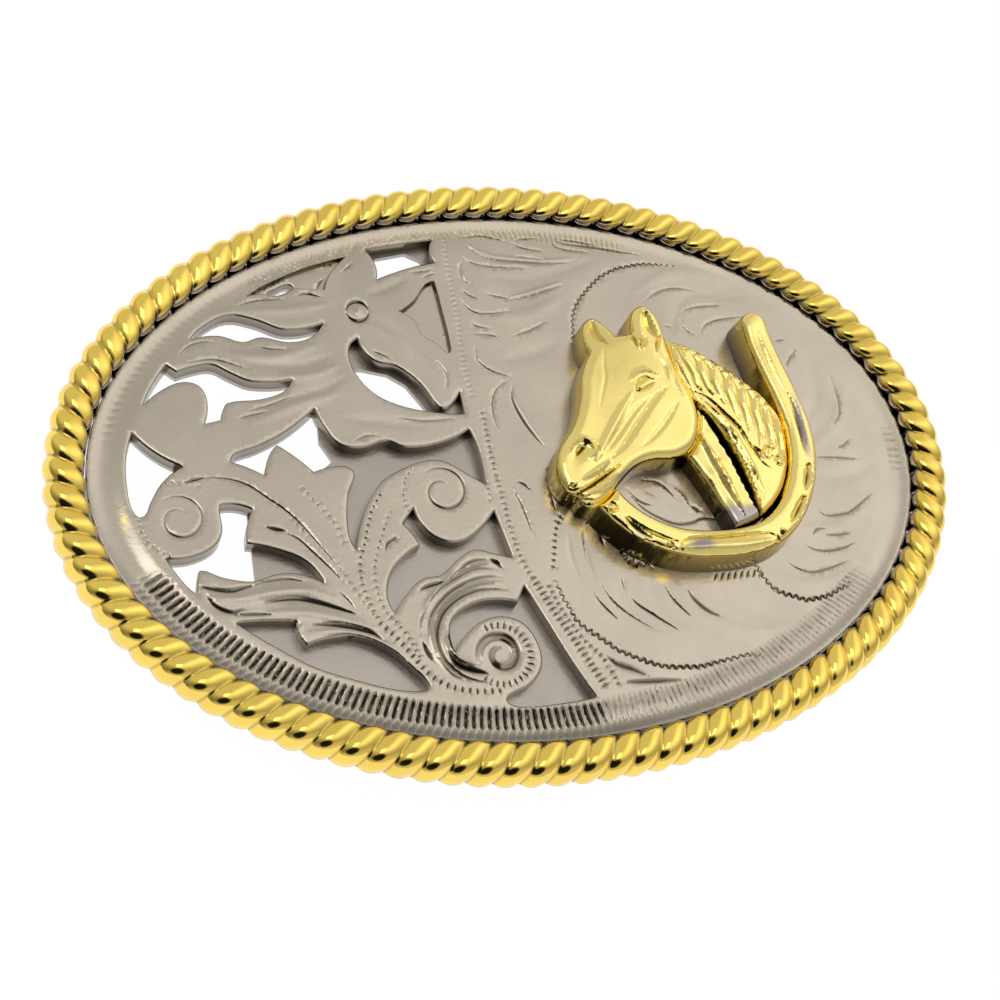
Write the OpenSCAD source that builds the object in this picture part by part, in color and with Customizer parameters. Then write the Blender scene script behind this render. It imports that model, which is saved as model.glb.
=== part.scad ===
// Western trophy belt buckle: pierced oval face in a rope border, a horse
// passing through a horseshoe, and on the back a swinging strap bail and a
// fixed hook. The buckle lies face up: +Z is out of the face, +X is along the
// long axis towards the bail, and the hook and the ears stand on Z = 0.

/* [Overall] */
// Length over the rope border
buckle_length = 95; // [85:1:105]
// Height over the rope border
buckle_height = 66.5; // [60:0.5:75]
// Clear depth behind the face for the strap, hook and bail
back_depth = 8; // [7.5:0.25:10]

/* [Face] */
// Thickness of the pierced front plate
front_t = 1.5; // [1.2:0.1:2]
// Thickness of the backing sheet
backing_t = 0.6; // [0.4:0.1:0.9]
// Depth of the blind pockets in the front plate
pocket_depth = 1.0; // [0.6:0.1:1.1]
// Depth of the engraved lines
engrave_depth = 0.2; // [0.1:0.05:0.4]

/* [Rope border] */
// Width of the rope
rope_w = 4; // [3:0.1:5]
// Height of the rope above the face
rope_rise = 1.9; // [1.2:0.1:2.5]
// Number of rope strands round the border
strands = 96; // [72:1:110]
// Depth of the groove between two strands
rope_groove = 0.45; // [0.2:0.05:0.6]

/* [Horse and horseshoe] */
// Height of the side walls of the figure
figure_wall = 2.4; // [1.5:0.1:3]
// Height of the crown of the horse above the face
horse_crown = 4.6; // [3.5:0.1:5.5]
// Height of the horseshoe above the face
shoe_rise = 4; // [3:0.1:4.5]
// Width of the horseshoe
shoe_w = 2.9; // [2.4:0.1:3.4]

/* [Bail] */
// Clear width of the bail, for the strap
bail_inside_w = 39.5; // [32:0.5:42]
// Radius of the bail wire
wire_r = 1.5; // [1.2:0.05:1.8]
// Distance from the pivot to the outer bar
bail_reach = 17; // [14:0.5:18]
// Position of the pivot along the length
pivot_x = 16; // [12:0.5:17]
// Radial clearance of the pivot
pivot_gap = 0.06; // [0.02:0.01:0.1]

/* [Hook] */
// Position of the hook along the length
hook_x = -34; // [-36:0.5:-28]
// Radius of the hook wire
hook_r = 1.4; // [1.2:0.05:1.7]
// Angle by which the hook bends over
hook_bend = 45; // [35:1:55]
// Length of the straight tip of the hook
hook_tip = 2.4; // [2:0.2:3]

/* [Hidden] */
$fn = 48;
eps = 0.01;

// Levels
backing_z = back_depth;
front_z = backing_z + backing_t;
field_z = front_z + front_t;

// Centreline of the rope, and the edge of the plates inside it
rope_a = (buckle_length - rope_w) / 2;
rope_b = (buckle_height - rope_w) / 2;
plate_a = rope_a - rope_w / 2;
plate_b = rope_b - rope_w / 2;
rope_bottom = field_z - 2.3;
rim_a = plate_a - 3.3;
rim_b = plate_b - 3.3;

// Bail and ears
ear_t = 3.4;
ear_wall = 1.3;
ear_r = wire_r + pivot_gap + ear_wall;
pivot_z = ear_r;
arm_y = bail_inside_w / 2 + wire_r;
arm_bend_r = 3;
corner_r = 4;
ear_gap = 0.25;
ear_y = arm_y - arm_bend_r - ear_gap - ear_t / 2;
ear_foot_t = 0.6;
pintle_proud = 0.6;
rest_tilt = asin((pivot_z - wire_r) / bail_reach);

// Hook: its turned-down tip is a little thinner, and starts inside the bend
hook_bend_r = 2.6;
hook_foot_t = 0.8;
hook_foot_r = 2.1;
tip_r = hook_r - 0.2;
tip_root = 0.5;
hook_bend_z = tip_r + hook_tip * cos(hook_bend) + hook_bend_r * sin(hook_bend);

// Rivets that hold the figure
rivet_r = 0.8;
rivet_head_r = 1.5;
rivet_head_t = 0.5;
rivet_bite = 1.4;
rivets = [[12.5, 6], [6.5, -1], [21.5, 4], [25, -3.5], [29.3, 0.5], [18, -11.4]];

// Outlines are [x, y] points joined by smooth curves; a third value of 1
// marks a sharp corner.
petal_left = [[-32.2, 15.5, 1], [-30.8, 16.9], [-28.2, 18.15], [-25.4, 17.5], [-22.6, 16.3],
    [-18.6, 16.9, 1], [-20.2, 15.3], [-22.4, 14.9], [-25.1, 15.55], [-27, 15.05], [-29.4, 15.85]];
leaf_left = [[-37.4, 8.4, 1], [-36.5, 10.3], [-34.9, 12.65, 1], [-33.9, 11.8, 1], [-32.2, 12.35],
    [-30.4, 12.55], [-28.8, 11.6], [-26.6, 10.5], [-22.55, 10.5, 1], [-23.6, 9.25], [-26, 8.5],
    [-29.2, 8.25], [-29.9, 7.2], [-30.1, 6.4, 1], [-31.7, 6.05, 1], [-31.2, 8.4], [-31.8, 10.2],
    [-33.4, 10.75], [-35.4, 10]];
edge_left = [[-38.8, 5.3, 1], [-36.8, 3.1], [-34.3, 1.5, 1], [-36.4, -0.1], [-37.7, -2.2],
    [-38.2, -3.3], [-38.9, -3.5], [-39.5, -2.4], [-39.7, 0.2], [-39.5, 2.8]];
branch_mid = [[-29.6, 1.8, 1], [-29.1, 2.55], [-26.8, 3.3], [-23.8, 4.8], [-20.7, 7.2, 1],
    [-19.9, 5], [-18.6, 3.1], [-16.4, 2.65], [-13.9, 3.3], [-12.2, 2.55], [-10, 2.5], [-7.2, 3.15],
    [-5.1, 4.2, 1], [-4.5, 1.6], [-4.4, -2, 1], [-6, -0.8], [-8.2, 0.75], [-10.2, 0.95], [-13, 0],
    [-15, -1.2], [-17, -4], [-18.5, -8.25, 1], [-19, -6.2], [-18.5, -2.4], [-17.6, -0.4],
    [-18, 0.55], [-19.4, 0.8], [-21.6, 0.3, 1], [-23.2, 2], [-24.9, 3.4, 1], [-25.8, 2.3],
    [-26.5, 0.2, 1], [-28, 1.1]];
foot_leaf = [[-30.8, -14.9, 1], [-28.4, -14.85], [-25.2, -15.15, 1], [-25.2, -16.2],
    [-24.5, -17.6, 1], [-22.4, -17.1], [-19.6, -17.15], [-17, -18.4], [-14.8, -20.5], [-13.4, -22.5],
    [-13.8, -23], [-16.4, -22.7], [-20, -21.5], [-24, -19.8], [-27.6, -17.4]];
top_leaf = [[-26, 20.3, 1], [-24, 21.6], [-20, 23.4], [-15.2, 24.8, 1], [-17.2, 22.6],
    [-17.9, 20.9, 1], [-19.6, 21], [-21.4, 21], [-23.1, 20.3], [-24.6, 20.5]];
leaf_window = [[-23.9, 20.75], [-23, 20.35], [-21.5, 20.95], [-21.05, 21.5], [-21.6, 21.95],
    [-22.8, 21.45]];
top_window = [[-12.9, 25.7, 1], [-10, 26.2], [-5.6, 26.8, 1], [-6.1, 25.2], [-5.7, 24, 1],
    [-8.6, 23.4], [-12.2, 22.1, 1], [-12.1, 23.8]];
crescent = [[-15.2, 15.1, 1], [-14.8, 13.6], [-13.6, 12.3], [-11.6, 11.7], [-9.4, 9.6],
    [-7.9, 6.9], [-7, 6.7], [-5.4, 8.5, 1], [-5.3, 6, 1], [-7.6, 6.2], [-11.2, 7], [-14.2, 8.6],
    [-16, 11.2], [-16.3, 13.8]];
star = [[-10.4, 18.1, 1], [-8.6, 19.4], [-7.2, 21.2], [-6.1, 21.7, 1], [-5.85, 18.8],
    [-5.55, 13.6], [-5.9, 13.05], [-7, 14.2], [-8.4, 15.3], [-8.9, 16.9]];
scroll_left = [[-36.7, -8, 1], [-34.4, -8], [-32.2, -7.1], [-31.2, -5.6], [-31.2, -3.6],
    [-31.1, -2.8, 1], [-29.6, -2.8], [-28.1, -3.4, 1], [-28.8, -5.2], [-29, -6.9, 1], [-26, -7.8],
    [-23.6, -9.1], [-22.1, -11.4, 1], [-24.2, -10.4], [-26.4, -10.2], [-28.8, -10.8],
    [-31.6, -10.2], [-33.6, -9.35], [-34, -10.2], [-34.2, -11.7, 1], [-35.2, -10.6]];
scroll_mid = [[-13.5, -5.8, 1], [-12.2, -4.2, 1], [-11.6, -6.1], [-10.2, -7.6], [-8.2, -8.1],
    [-6.2, -7.2], [-4, -5, 1], [-3.5, -7.6], [-3, -10.1, 1], [-4.8, -9.5], [-6.8, -9], [-8.6, -9.95],
    [-10.4, -11.4], [-12.4, -11.7], [-14.1, -13.1], [-15.6, -15, 1], [-16.1, -13.2],
    [-15.4, -10.9], [-13.8, -9.2], [-12.1, -8.2, 1], [-12.7, -6.9]];
foot_scroll = [[-2.3, -13.2, 1], [-3.2, -14.8, 1], [-6.5, -14.4], [-9, -15.2], [-10.4, -16.7],
    [-10.3, -19.4, 1], [-9.2, -18], [-7.4, -16.6], [-5, -16.15], [-3, -17.1], [-1.9, -19.4],
    [-2, -21.6], [-3.4, -23.3], [-5.6, -24.2], [-6, -24.8], [-4.8, -25.4], [-1, -25.45],
    [2.9, -25.1, 1], [1.2, -21.6], [-0.8, -16.8]];

// Openings right through both plates
through_cuts = [petal_left, leaf_left, edge_left, leaf_window];
// Openings right through the front plate, with the backing sheet behind
// some or all of each
front_cuts = [branch_mid, foot_leaf, top_window, crescent, scroll_left, scroll_mid, foot_scroll];
// Pockets that stop inside the front plate
pockets = [star, top_leaf];

// Parts of the partly backed openings that the backing sheet leaves open,
// each [outline, zone]
backing_windows = [
    [branch_mid, [[-30.5, -1], [-21.4, 0.3], [-19.3, 2], [-20.4, 4.2], [-20.2, 8], [-31, 6]]],
    [crescent, [[-17, 5], [-8.9, 5], [-8.9, 7.4], [-10.6, 10.2], [-12.4, 11.5], [-15, 12.2],
                [-17, 12.2]]],
    [scroll_left, [[-38, -12.5], [-28.4, -12.5], [-28.4, -2], [-38, -2]]],
    [top_window, [[-12.4, 22], [-6.8, 24], [-6.8, 25.1], [-8.4, 26], [-11.6, 25.4], [-12.6, 24.6]]]
];

// Engraved lines: [width, points]
engraving = [
    [0.5, [[0.3, 8.8], [0.2, 7], [0.8, 5.2], [1.8, 3.4], [2.6, 2]]],
    [0.4, [[8.1, 26.9], [10.5, 25.9], [13.5, 25.4], [17.6, 24.6]]],
    [0.4, [[-2.1, 26.4], [-0.4, 25], [2, 24.3], [6, 23.9], [9.6, 24]]],
    [0.3, [[1.8, 19.4], [4.4, 19.8], [8, 21]]],
    [0.3, [[1.6, 14.9], [4, 15.7], [5.4, 16.5]]],
    [0.3, [[5.8, -13.8], [6.8, -15.8], [8.5, -17.4], [10.6, -18.9]]],
    [0.4, [[8.5, -14.8], [9.2, -16.1], [10.8, -17.5], [12.9, -19.1]]],
    [0.5, [[14.7, -14.6], [15.3, -16], [16.4, -17.2], [17.8, -18]]],
    [0.6, [[4.9, -21.2], [6.2, -22.3], [8.5, -23.4]]],
    [0.5, [[6.2, -23.95], [8.5, -24.1], [11.8, -24.2]]],
    [0.3, [[28.9, -10.9], [31, -11.7], [34.4, -11]]],
    [0.3, [[26.1, -12.4], [28.2, -13.8], [33, -13.1]]],
    [0.4, [[-32.8, -11.6], [-30.4, -12.2], [-28.8, -11.9]]],
    [0.4, [[-27.6, -13], [-24, -13.1], [-19.2, -14.9]]],
    [0.3, [[-30.6, 19.4], [-28.4, 20.4], [-26.6, 20.9]]]
];
flower = [-14.8, 18.2];
flower_r = 1.2;

// Horse and horseshoe outlines
head_line = [[8, 10.7, 1], [6.6, 8], [6, 5.5], [4.8, 2.6], [2.9, 0.1], [2.2, -2.2], [2.8, -4.5],
    [3.9, -5.2], [4.4, -6.1], [5.8, -6.5], [7.2, -5.7], [8.6, -4.2], [10.5, -2.6], [12.5, -1.95],
    [15, -1.9], [17.3, -0.6], [18.5, 2.2], [18.3, 5], [17.2, 8], [16.9, 10.6], [16.8, 12.6],
    [16.4, 14.5], [15.5, 15.85], [14.5, 15.95], [13.5, 15.1], [13, 12.8, 1], [11.4, 12.8, 1],
    [10.8, 14.1], [9.8, 15.2], [8.8, 15.1], [8, 14], [7.8, 12.2]];
neck_line = [[15, 12, 1], [17, 12, 1], [19.5, 10.9], [22.3, 8.8], [24.6, 6.9], [26.5, 4.9],
    [27.9, 2.2], [28, -0.6], [27.4, -3.4], [26, -6.1], [23.4, -8.4], [20.2, -9.5, 1], [19.2, -6.5],
    [18, -3.6], [16.8, -1.2, 1]];
shoe_path = [[27.3, 13.5], [27.6, 11], [28.2, 8], [28.9, 5], [29.4, 2], [29.45, -1], [28.75, -4.2],
    [27, -7.6], [24.5, -10], [21.3, -11.2], [17.5, -11.4], [14, -11], [11.2, -9.9], [8.8, -8.2],
    [7, -6], [6, -3.6]];
mane_lines = [
    [[17.6, 11.4], [18, 9.2], [18.8, 6.6], [19.6, 5.2]],
    [[18.9, 10.9], [19.7, 8.8], [19.5, 7], [20.8, 4.6]],
    [[20.7, 9.6], [21.5, 7.6], [21.5, 5.6], [22.6, 3]],
    [[22.5, 8.3], [23.5, 6], [23.4, 4], [24.2, 1.2]],
    [[24.3, 6.8], [25.1, 4.4], [25, 2.2], [25.2, -1]],
    [[26, 5], [26.6, 2.8], [26.4, 0.4], [25.8, -1.8]]
];
throat_groove = [[18.7, 4.2], [19.6, 2.4], [21, -0.6], [22.2, -4], [23, -7.8]];

// Smooth curve through points, by cubic spans of four steps
steps = 4;
function flat(v) = [v.x, v.y];
function corner(p) = len(p) > 2;
function slope(p, i, d) =
    let (n = len(p), v = flat(p[(i + 1) % n]) - flat(p[(i + n - 1) % n])) v / norm(v) * d;
function span(p, i) =
    let (n = len(p), a = flat(p[i]), b = flat(p[(i + 1) % n]), d = norm(b - a),
         ca = corner(p[i]), cb = corner(p[(i + 1) % n]),
         sa = slope(p, i, d), sb = slope(p, (i + 1) % n, d),
         ta = !ca ? sa : cb ? b - a : 2 * (b - a) - sb,
         tb = !cb ? sb : ca ? b - a : 2 * (b - a) - sa)
    [for (k = [0 : steps - 1]) let (t = k / steps)
        a * (2 * t ^ 3 - 3 * t ^ 2 + 1) + ta * (t ^ 3 - 2 * t ^ 2 + t)
        + b * (3 * t ^ 2 - 2 * t ^ 3) + tb * (t ^ 3 - t ^ 2)];
function curve(p) = [for (i = [0 : len(p) - 1]) each span(p, i)];

// Open curve: the same spans, with the two end points as corners
function sharp_ends(p) =
    [for (i = [0 : len(p) - 1]) i == 0 || i == len(p) - 1 ? [p[i].x, p[i].y, 1] : p[i]];
function open_curve(p) =
    let (q = sharp_ends(p), n = len(p)) [each [for (i = [0 : n - 2]) each span(q, i)], flat(p[n - 1])];
function side(p, i, w) =
    let (n = len(p), v = p[min(i + 1, n - 1)] - p[max(i - 1, 0)]) p[i] + w * [-v.y, v.x] / norm(v);
function ribbon(p, w) =
    let (n = len(p))
    [each [for (i = [0 : n - 1]) side(p, i, w)], each [for (i = [n - 1 : -1 : 0]) side(p, i, -w)]];
// A line that swells from a point at each end to its full width
function swell(p, w) =
    let (n = len(p))
    [each [for (i = [0 : n - 1]) side(p, i, w * sin(180 * i / (n - 1)))],
     each [for (i = [n - 2 : -1 : 1]) side(p, i, -w * sin(180 * i / (n - 1)))]];

function oval(a, b, n = 120) = [for (i = [0 : n - 1]) [a * cos(360 * i / n), b * sin(360 * i / n)]];

module slab(points, z, t) {
    translate([0, 0, z]) linear_extrude(t) polygon(points);
}

module front_plate() {
    color([0.74, 0.71, 0.67]) difference() {
        slab(oval(plate_a, plate_b), front_z, front_t);
        for (c = through_cuts) slab(curve(c), front_z - 1, front_t + 2);
        for (c = front_cuts) slab(curve(c), front_z - 1, front_t + 2);
        for (c = pockets) slab(curve(c), field_z - pocket_depth, 2);
        for (e = engraving) slab(swell(open_curve(e[1]), e[0] / 2), field_z - engrave_depth, 1);
        border_step();
        flower_ring();
        rivet_holes();
    }
}

// Low step all round, inside the rope
module border_step() {
    difference() {
        slab(oval(plate_a + 1, plate_b + 1), field_z - engrave_depth, 1);
        slab(oval(rim_a, rim_b), field_z - 1, 3);
    }
}

module flower_ring() {
    translate([flower.x, flower.y, field_z - engrave_depth]) difference() {
        cylinder(h = 1, r = flower_r);
        translate([0, 0, -1]) cylinder(h = 3, r = flower_r - 0.35);
    }
}

module backing_plate() {
    color([0.62, 0.59, 0.56]) difference() {
        slab(oval(plate_a, plate_b), backing_z, backing_t);
        for (c = through_cuts) slab(curve(c), backing_z - 1, backing_t + 2);
        for (w = backing_windows) intersection() {
            slab(curve(w[0]), backing_z - 1, backing_t + 2);
            slab(w[1], backing_z - 2, backing_t + 4);
        }
        rivet_holes();
    }
}

module rivet_holes() {
    for (p = rivets) translate([p.x, p.y, backing_z - 1])
        cylinder(h = field_z - backing_z + 1 + rivet_bite, r = rivet_r, $fn = 24);
}

// Points of one cross-section of the rope, [distance out, height], with the
// strands' grooves lying further round the oval the further out they are
rope_profile = [[-1, 0, 0, 0], [-1, 0.76, 0, 0], [-0.55, 0.93, 0.1, 1], [0.05, 1, 0.35, 1],
                [0.65, 0.86, 0.6, 1], [1.03, 0.5, 0.85, 0.8], [0.9, 0, 0, 0]];
rings_per_strand = 3;
rings = strands * rings_per_strand;
rope_h = field_z + rope_rise - rope_bottom;
rope_gap = 0.03;
// Turn along the ellipse that spaces the strands evenly
function rope_turn(s) = let (a = 360 * s) a + 5.2 * sin(2 * a);
function groove(phase) = rope_groove * (1 - abs(sin(180 * phase)));
function rope_point(i, k) =
    let (t = rope_turn(i / rings), q = rope_profile[k],
         n = [rope_b * cos(t), rope_a * sin(t)], u = n / norm(n),
         g = q[3] * groove(i / rings_per_strand + q[2]),
         out = q[0] * (rope_w / 2 - (k < 2 ? rope_gap : 0)) - g * q[0],
         up = q[1] * (rope_h - g))
    [rope_a * cos(t) + u.x * out, rope_b * sin(t) + u.y * out, rope_bottom + up];

module rope_border() {
    m = len(rope_profile);
    color([0.93, 0.76, 0.3]) polyhedron(
        points = [for (i = [0 : rings - 1]) each [for (k = [0 : m - 1]) rope_point(i, k)]],
        faces = [for (i = [0 : rings - 1]) each [for (k = [0 : m - 1])
            let (a = i * m + k, b = i * m + (k + 1) % m,
                 c = ((i + 1) % rings) * m + (k + 1) % m, d = ((i + 1) % rings) * m + k)
            each [[a, c, b], [a, d, c]]]]);
}

// Low dome: the cap of a big ball, its top at height h over the face
module dome(x, y, r, h) {
    translate([x, y, field_z + h - r]) sphere(r = r, $fn = 64);
}

module horse_head() {
    color([0.96, 0.8, 0.35]) difference() {
        intersection() {
            slab(curve(head_line), field_z, horse_crown + 1);
            union() {
                slab(oval(60, 60), field_z - 1, figure_wall + 1);
                dome(13, 4.5, 15, horse_crown);
                dome(6.2, -2, 9, horse_crown - 0.5);
                dome(9.4, 13, 5, horse_crown - 1);
                dome(14.9, 13.4, 5, horse_crown - 0.6);
            }
        }
        // nostril, mouth and the hollows of the ears
        translate([4.9, -0.6, field_z + horse_crown - 1.2]) cylinder(h = 3, r = 0.5);
        slab(swell(open_curve([[3.2, -5.2], [5, -4.6], [6.8, -3.7], [8.7, -2.4]]), 0.3),
             field_z + 2, 5);
        for (e = [[9.3, 12.8], [14.9, 13.5]])
            slab(swell(open_curve([e + [-0.2, 1.3], e + [0.1, 0.2], e + [0.2, -1.2]]), 0.45),
                 field_z + figure_wall + 0.2, 5);
        rivet_holes();
    }
    color([0.96, 0.8, 0.35]) translate([12.8, 6.7, field_z + horse_crown - 0.75])
        sphere(r = 0.8, $fn = 32);
}

module horse_neck() {
    color([0.93, 0.76, 0.3]) difference() {
        intersection() {
            slab(curve(neck_line), field_z, horse_crown + 1);
            union() {
                slab(oval(60, 60), field_z - 1, figure_wall + 0.2);
                dome(22.5, 2, 17, horse_crown - 0.6);
            }
        }
        slab(curve(head_line), field_z - 1, horse_crown + 3);
        for (m = mane_lines) slab(swell(open_curve(m), 0.18), field_z + figure_wall + 0.3, 5);
        slab(swell(open_curve(throat_groove), 0.4), field_z + 1, 5);
        rivet_holes();
    }
}

module horseshoe() {
    path = open_curve(shoe_path);
    top_z = field_z + shoe_rise;
    color([0.96, 0.78, 0.3]) difference() {
        union() {
            slab(ribbon(path, shoe_w / 2), field_z, shoe_rise);
            translate([shoe_path[0].x, shoe_path[0].y, field_z])
                cylinder(h = shoe_rise, r = shoe_w / 2);
        }
        slab(curve(head_line), field_z - 1, shoe_rise + 3);
        slab(curve(neck_line), field_z - 1, shoe_rise + 3);
        // creases and nail holes
        for (c = [[[8.6, -8.9], [9.6, -9.8], [10.7, -10.5]], [[26.3, -9.4], [27.2, -8.6], [28, -7.5]],
                  [[28.7, -5.9], [29.1, -5], [29.5, -4]], [[29.5, 4.4], [29.9, 2], [29.9, -1.6]]])
            slab(ribbon(open_curve(c), 0.35), top_z - 0.4, 1);
        for (h = [[12.3, -11.2], [24.6, -10.6], [28.1, -7.1], [29.6, -3.4]])
            translate([h.x, h.y, top_z - 0.6]) rotate(45) cube([0.8, 0.8, 2], center = true);
        rivet_holes();
    }
}

module figure_rivets() {
    color([0.7, 0.67, 0.62]) for (p = rivets) translate([p.x, p.y, 0]) {
        translate([0, 0, backing_z]) cylinder(h = field_z - backing_z + rivet_bite, r = rivet_r,
                                              $fn = 24);
        translate([0, 0, backing_z - rivet_head_t]) cylinder(h = rivet_head_t, r = rivet_head_r,
                                                             $fn = 32);
    }
}

module bail_ear() {
    color([0.68, 0.66, 0.63]) translate([pivot_x, 0, 0]) difference() {
        union() {
            translate([0, ear_t / 2, pivot_z]) rotate([90, 0, 0]) cylinder(h = ear_t, r = ear_r);
            translate([-ear_r, -ear_t / 2, pivot_z]) cube([2 * ear_r, ear_t, backing_z - pivot_z]);
            translate([-ear_r - 1, -ear_t / 2 - 0.7, backing_z - ear_foot_t])
                cube([2 * ear_r + 2, ear_t + 1.4, ear_foot_t]);
        }
        translate([0, ear_t, pivot_z]) rotate([90, 0, 0])
            cylinder(h = 2 * ear_t, r = wire_r + pivot_gap);
    }
}

module bail_ear_upper() {
    translate([0, ear_y, 0]) bail_ear();
}

module bail_ear_lower() {
    translate([0, -ear_y, 0]) bail_ear();
}

// A quarter turn of wire in the bail's plane, about [x, y]
module wire_turn(x, y, r, a) {
    translate([x, y, 0]) rotate(a) rotate_extrude(angle = 90) translate([r, 0]) circle(r = wire_r);
}

module half_bail() {
    pintle = arm_bend_r + ear_gap + ear_t + pintle_proud;
    translate([0, arm_y - arm_bend_r, 0]) rotate([90, 0, 0])
        cylinder(h = pintle - arm_bend_r, r = wire_r);
    wire_turn(arm_bend_r, arm_y - arm_bend_r, arm_bend_r, 90);
    translate([arm_bend_r, arm_y, 0]) rotate([0, 90, 0])
        cylinder(h = bail_reach - arm_bend_r - corner_r, r = wire_r);
    wire_turn(bail_reach - corner_r, arm_y - corner_r, corner_r, 0);
}

module bail() {
    color([0.6, 0.58, 0.55]) translate([pivot_x, 0, pivot_z]) rotate([0, rest_tilt, 0]) {
        half_bail();
        mirror([0, 1, 0]) half_bail();
        translate([bail_reach, arm_y - corner_r, 0]) rotate([90, 0, 0])
            cylinder(h = 2 * (arm_y - corner_r), r = wire_r);
    }
}

module hook_base() {
    color([0.68, 0.66, 0.63]) translate([hook_x, 0, backing_z - hook_foot_t]) difference() {
        cylinder(h = hook_foot_t, r = hook_foot_r);
        translate([0, 0, -1]) cylinder(h = hook_foot_t + 2, r = hook_r);
    }
}

module hook() {
    color([0.6, 0.58, 0.55]) translate([hook_x, 0, 0]) {
        translate([0, 0, hook_bend_z]) cylinder(h = backing_z - hook_bend_z, r = hook_r);
        translate([hook_bend_r, 0, hook_bend_z]) rotate([90, 0, 0]) rotate(180)
            rotate_extrude(angle = hook_bend) translate([hook_bend_r, 0]) circle(r = hook_r);
        translate([hook_bend_r * (1 - cos(hook_bend)), 0, hook_bend_z - hook_bend_r * sin(hook_bend)])
            rotate([0, 180 - hook_bend, 0]) translate([0, 0, -tip_root]) round_pin(tip_r, tip_root + hook_tip);
    }
}

// A pin along Z with a round end, which reaches its radius beyond the length
module round_pin(r, length) {
    rotate_extrude() intersection() {
        square([r, length + r]);
        union() {
            square([r, length]);
            translate([0, length]) circle(r = r);
        }
    }
}

front_plate();
backing_plate();
rope_border();
horse_head();
horse_neck();
horseshoe();
figure_rivets();
bail_ear_upper();
bail_ear_lower();
bail();
hook_base();
hook();
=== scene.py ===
"""Western trophy belt buckle: a pierced and engraved nickel face in a gilt rope border, with a gilt
horse's head that looks out through a horseshoe, and a strap bail and a hook on the back.
Shapes are worked out in millimetres in the buckle's own frame and put into the meshes in metres."""

import math

import bpy
import numpy as np
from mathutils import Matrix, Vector
from mathutils.geometry import delaunay_2d_cdt


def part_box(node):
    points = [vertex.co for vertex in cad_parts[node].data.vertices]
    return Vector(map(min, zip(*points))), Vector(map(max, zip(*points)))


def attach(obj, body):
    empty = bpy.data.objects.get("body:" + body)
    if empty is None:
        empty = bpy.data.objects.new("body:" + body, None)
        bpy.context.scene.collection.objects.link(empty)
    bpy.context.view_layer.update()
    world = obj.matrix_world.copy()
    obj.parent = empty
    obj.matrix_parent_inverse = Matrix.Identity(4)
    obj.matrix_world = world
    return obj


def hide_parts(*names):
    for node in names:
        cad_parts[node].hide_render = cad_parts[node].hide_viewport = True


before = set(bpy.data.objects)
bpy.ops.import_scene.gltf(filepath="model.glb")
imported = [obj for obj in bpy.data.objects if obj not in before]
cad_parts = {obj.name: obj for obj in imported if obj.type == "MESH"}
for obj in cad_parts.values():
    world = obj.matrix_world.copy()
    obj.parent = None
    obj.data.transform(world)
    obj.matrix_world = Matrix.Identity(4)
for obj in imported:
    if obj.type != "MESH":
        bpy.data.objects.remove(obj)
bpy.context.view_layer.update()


# ---------------------------------------------------------------------------------------------
# Camera: looks down on the face from the front left, with the long axis lying across the view.
camera = bpy.data.objects.new("camera", bpy.data.cameras.new("camera"))
bpy.context.scene.collection.objects.link(camera)
camera.location = (-0.053347, -0.070657, 0.164157)
camera.rotation_euler = [math.radians(turn) for turn in (25.08902, -13.89582, -9.73654)]
camera.data.lens = 62.865
camera.data.clip_start = 0.005
bpy.context.scene.camera = camera


# ---------------------------------------------------------------------------------------------
# Front plate: one die-cast plate of zinc with a warm, satin nickel plating. Its openings are
# pierced in the casting, and the scrolls, plumes and serrated lines are engraved in the die.
MM = 0.001  # metres in a millimetre


def unit(vectors):
    """The vectors at length 1, or at 0 where they have no length."""
    return vectors / np.maximum(np.linalg.norm(vectors, axis=-1), 1e-9)[..., None]


def turn_of(spot, triangle):
    """Twice each triangle's area in plan: above 0 where its corners run anticlockwise."""
    a, b, c = (spot[triangle[:, k]] for k in range(3))
    return (b - a)[:, 0] * (c - a)[:, 1] - (b - a)[:, 1] * (c - a)[:, 0]


def facing_up(spot, triangle):
    """The triangles, each with its corners anticlockwise."""
    return np.where(turn_of(spot, triangle)[:, None] > 0, triangle, triangle[:, ::-1])


def outline_of(node, *levels):
    """Points (mm) and directed edges that bound a CAD node's flat faces at the given heights: an
    edge bounds them if just one of their triangles has it. The metal is on an edge's left."""
    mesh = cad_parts[node].data
    mesh.calc_loop_triangles()
    corner = np.empty(3 * len(mesh.vertices), np.float32)
    mesh.vertices.foreach_get("co", corner)
    corner = corner.reshape(-1, 3) / MM
    triangle = np.empty(3 * len(mesh.loop_triangles), np.int32)
    mesh.loop_triangles.foreach_get("vertices", triangle)
    triangle = triangle.reshape(-1, 3)
    height = corner[triangle, 2]
    flat = np.zeros(len(triangle), bool)
    for level in levels:
        flat |= (abs(height - level) < 0.02).all(1)
    spot, place = np.unique(np.round(corner[:, :2], 3), axis=0, return_inverse=True)
    triangle = place.ravel()[triangle[flat]]
    triangle = triangle[(triangle != np.roll(triangle, 1, 1)).all(1)]
    triangle = facing_up(spot, triangle)
    edge = np.concatenate([triangle[:, [0, 1]], triangle[:, [1, 2]], triangle[:, [2, 0]]])
    code = edge.min(1) * len(spot) + edge.max(1)
    _, first, count = np.unique(code, return_index=True, return_counts=True)
    edge = edge[first[count == 1]]
    used, edge = np.unique(edge[edge[:, 0] != edge[:, 1]], return_inverse=True)
    return spot[used].astype(float), edge.reshape(-1, 2)


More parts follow.
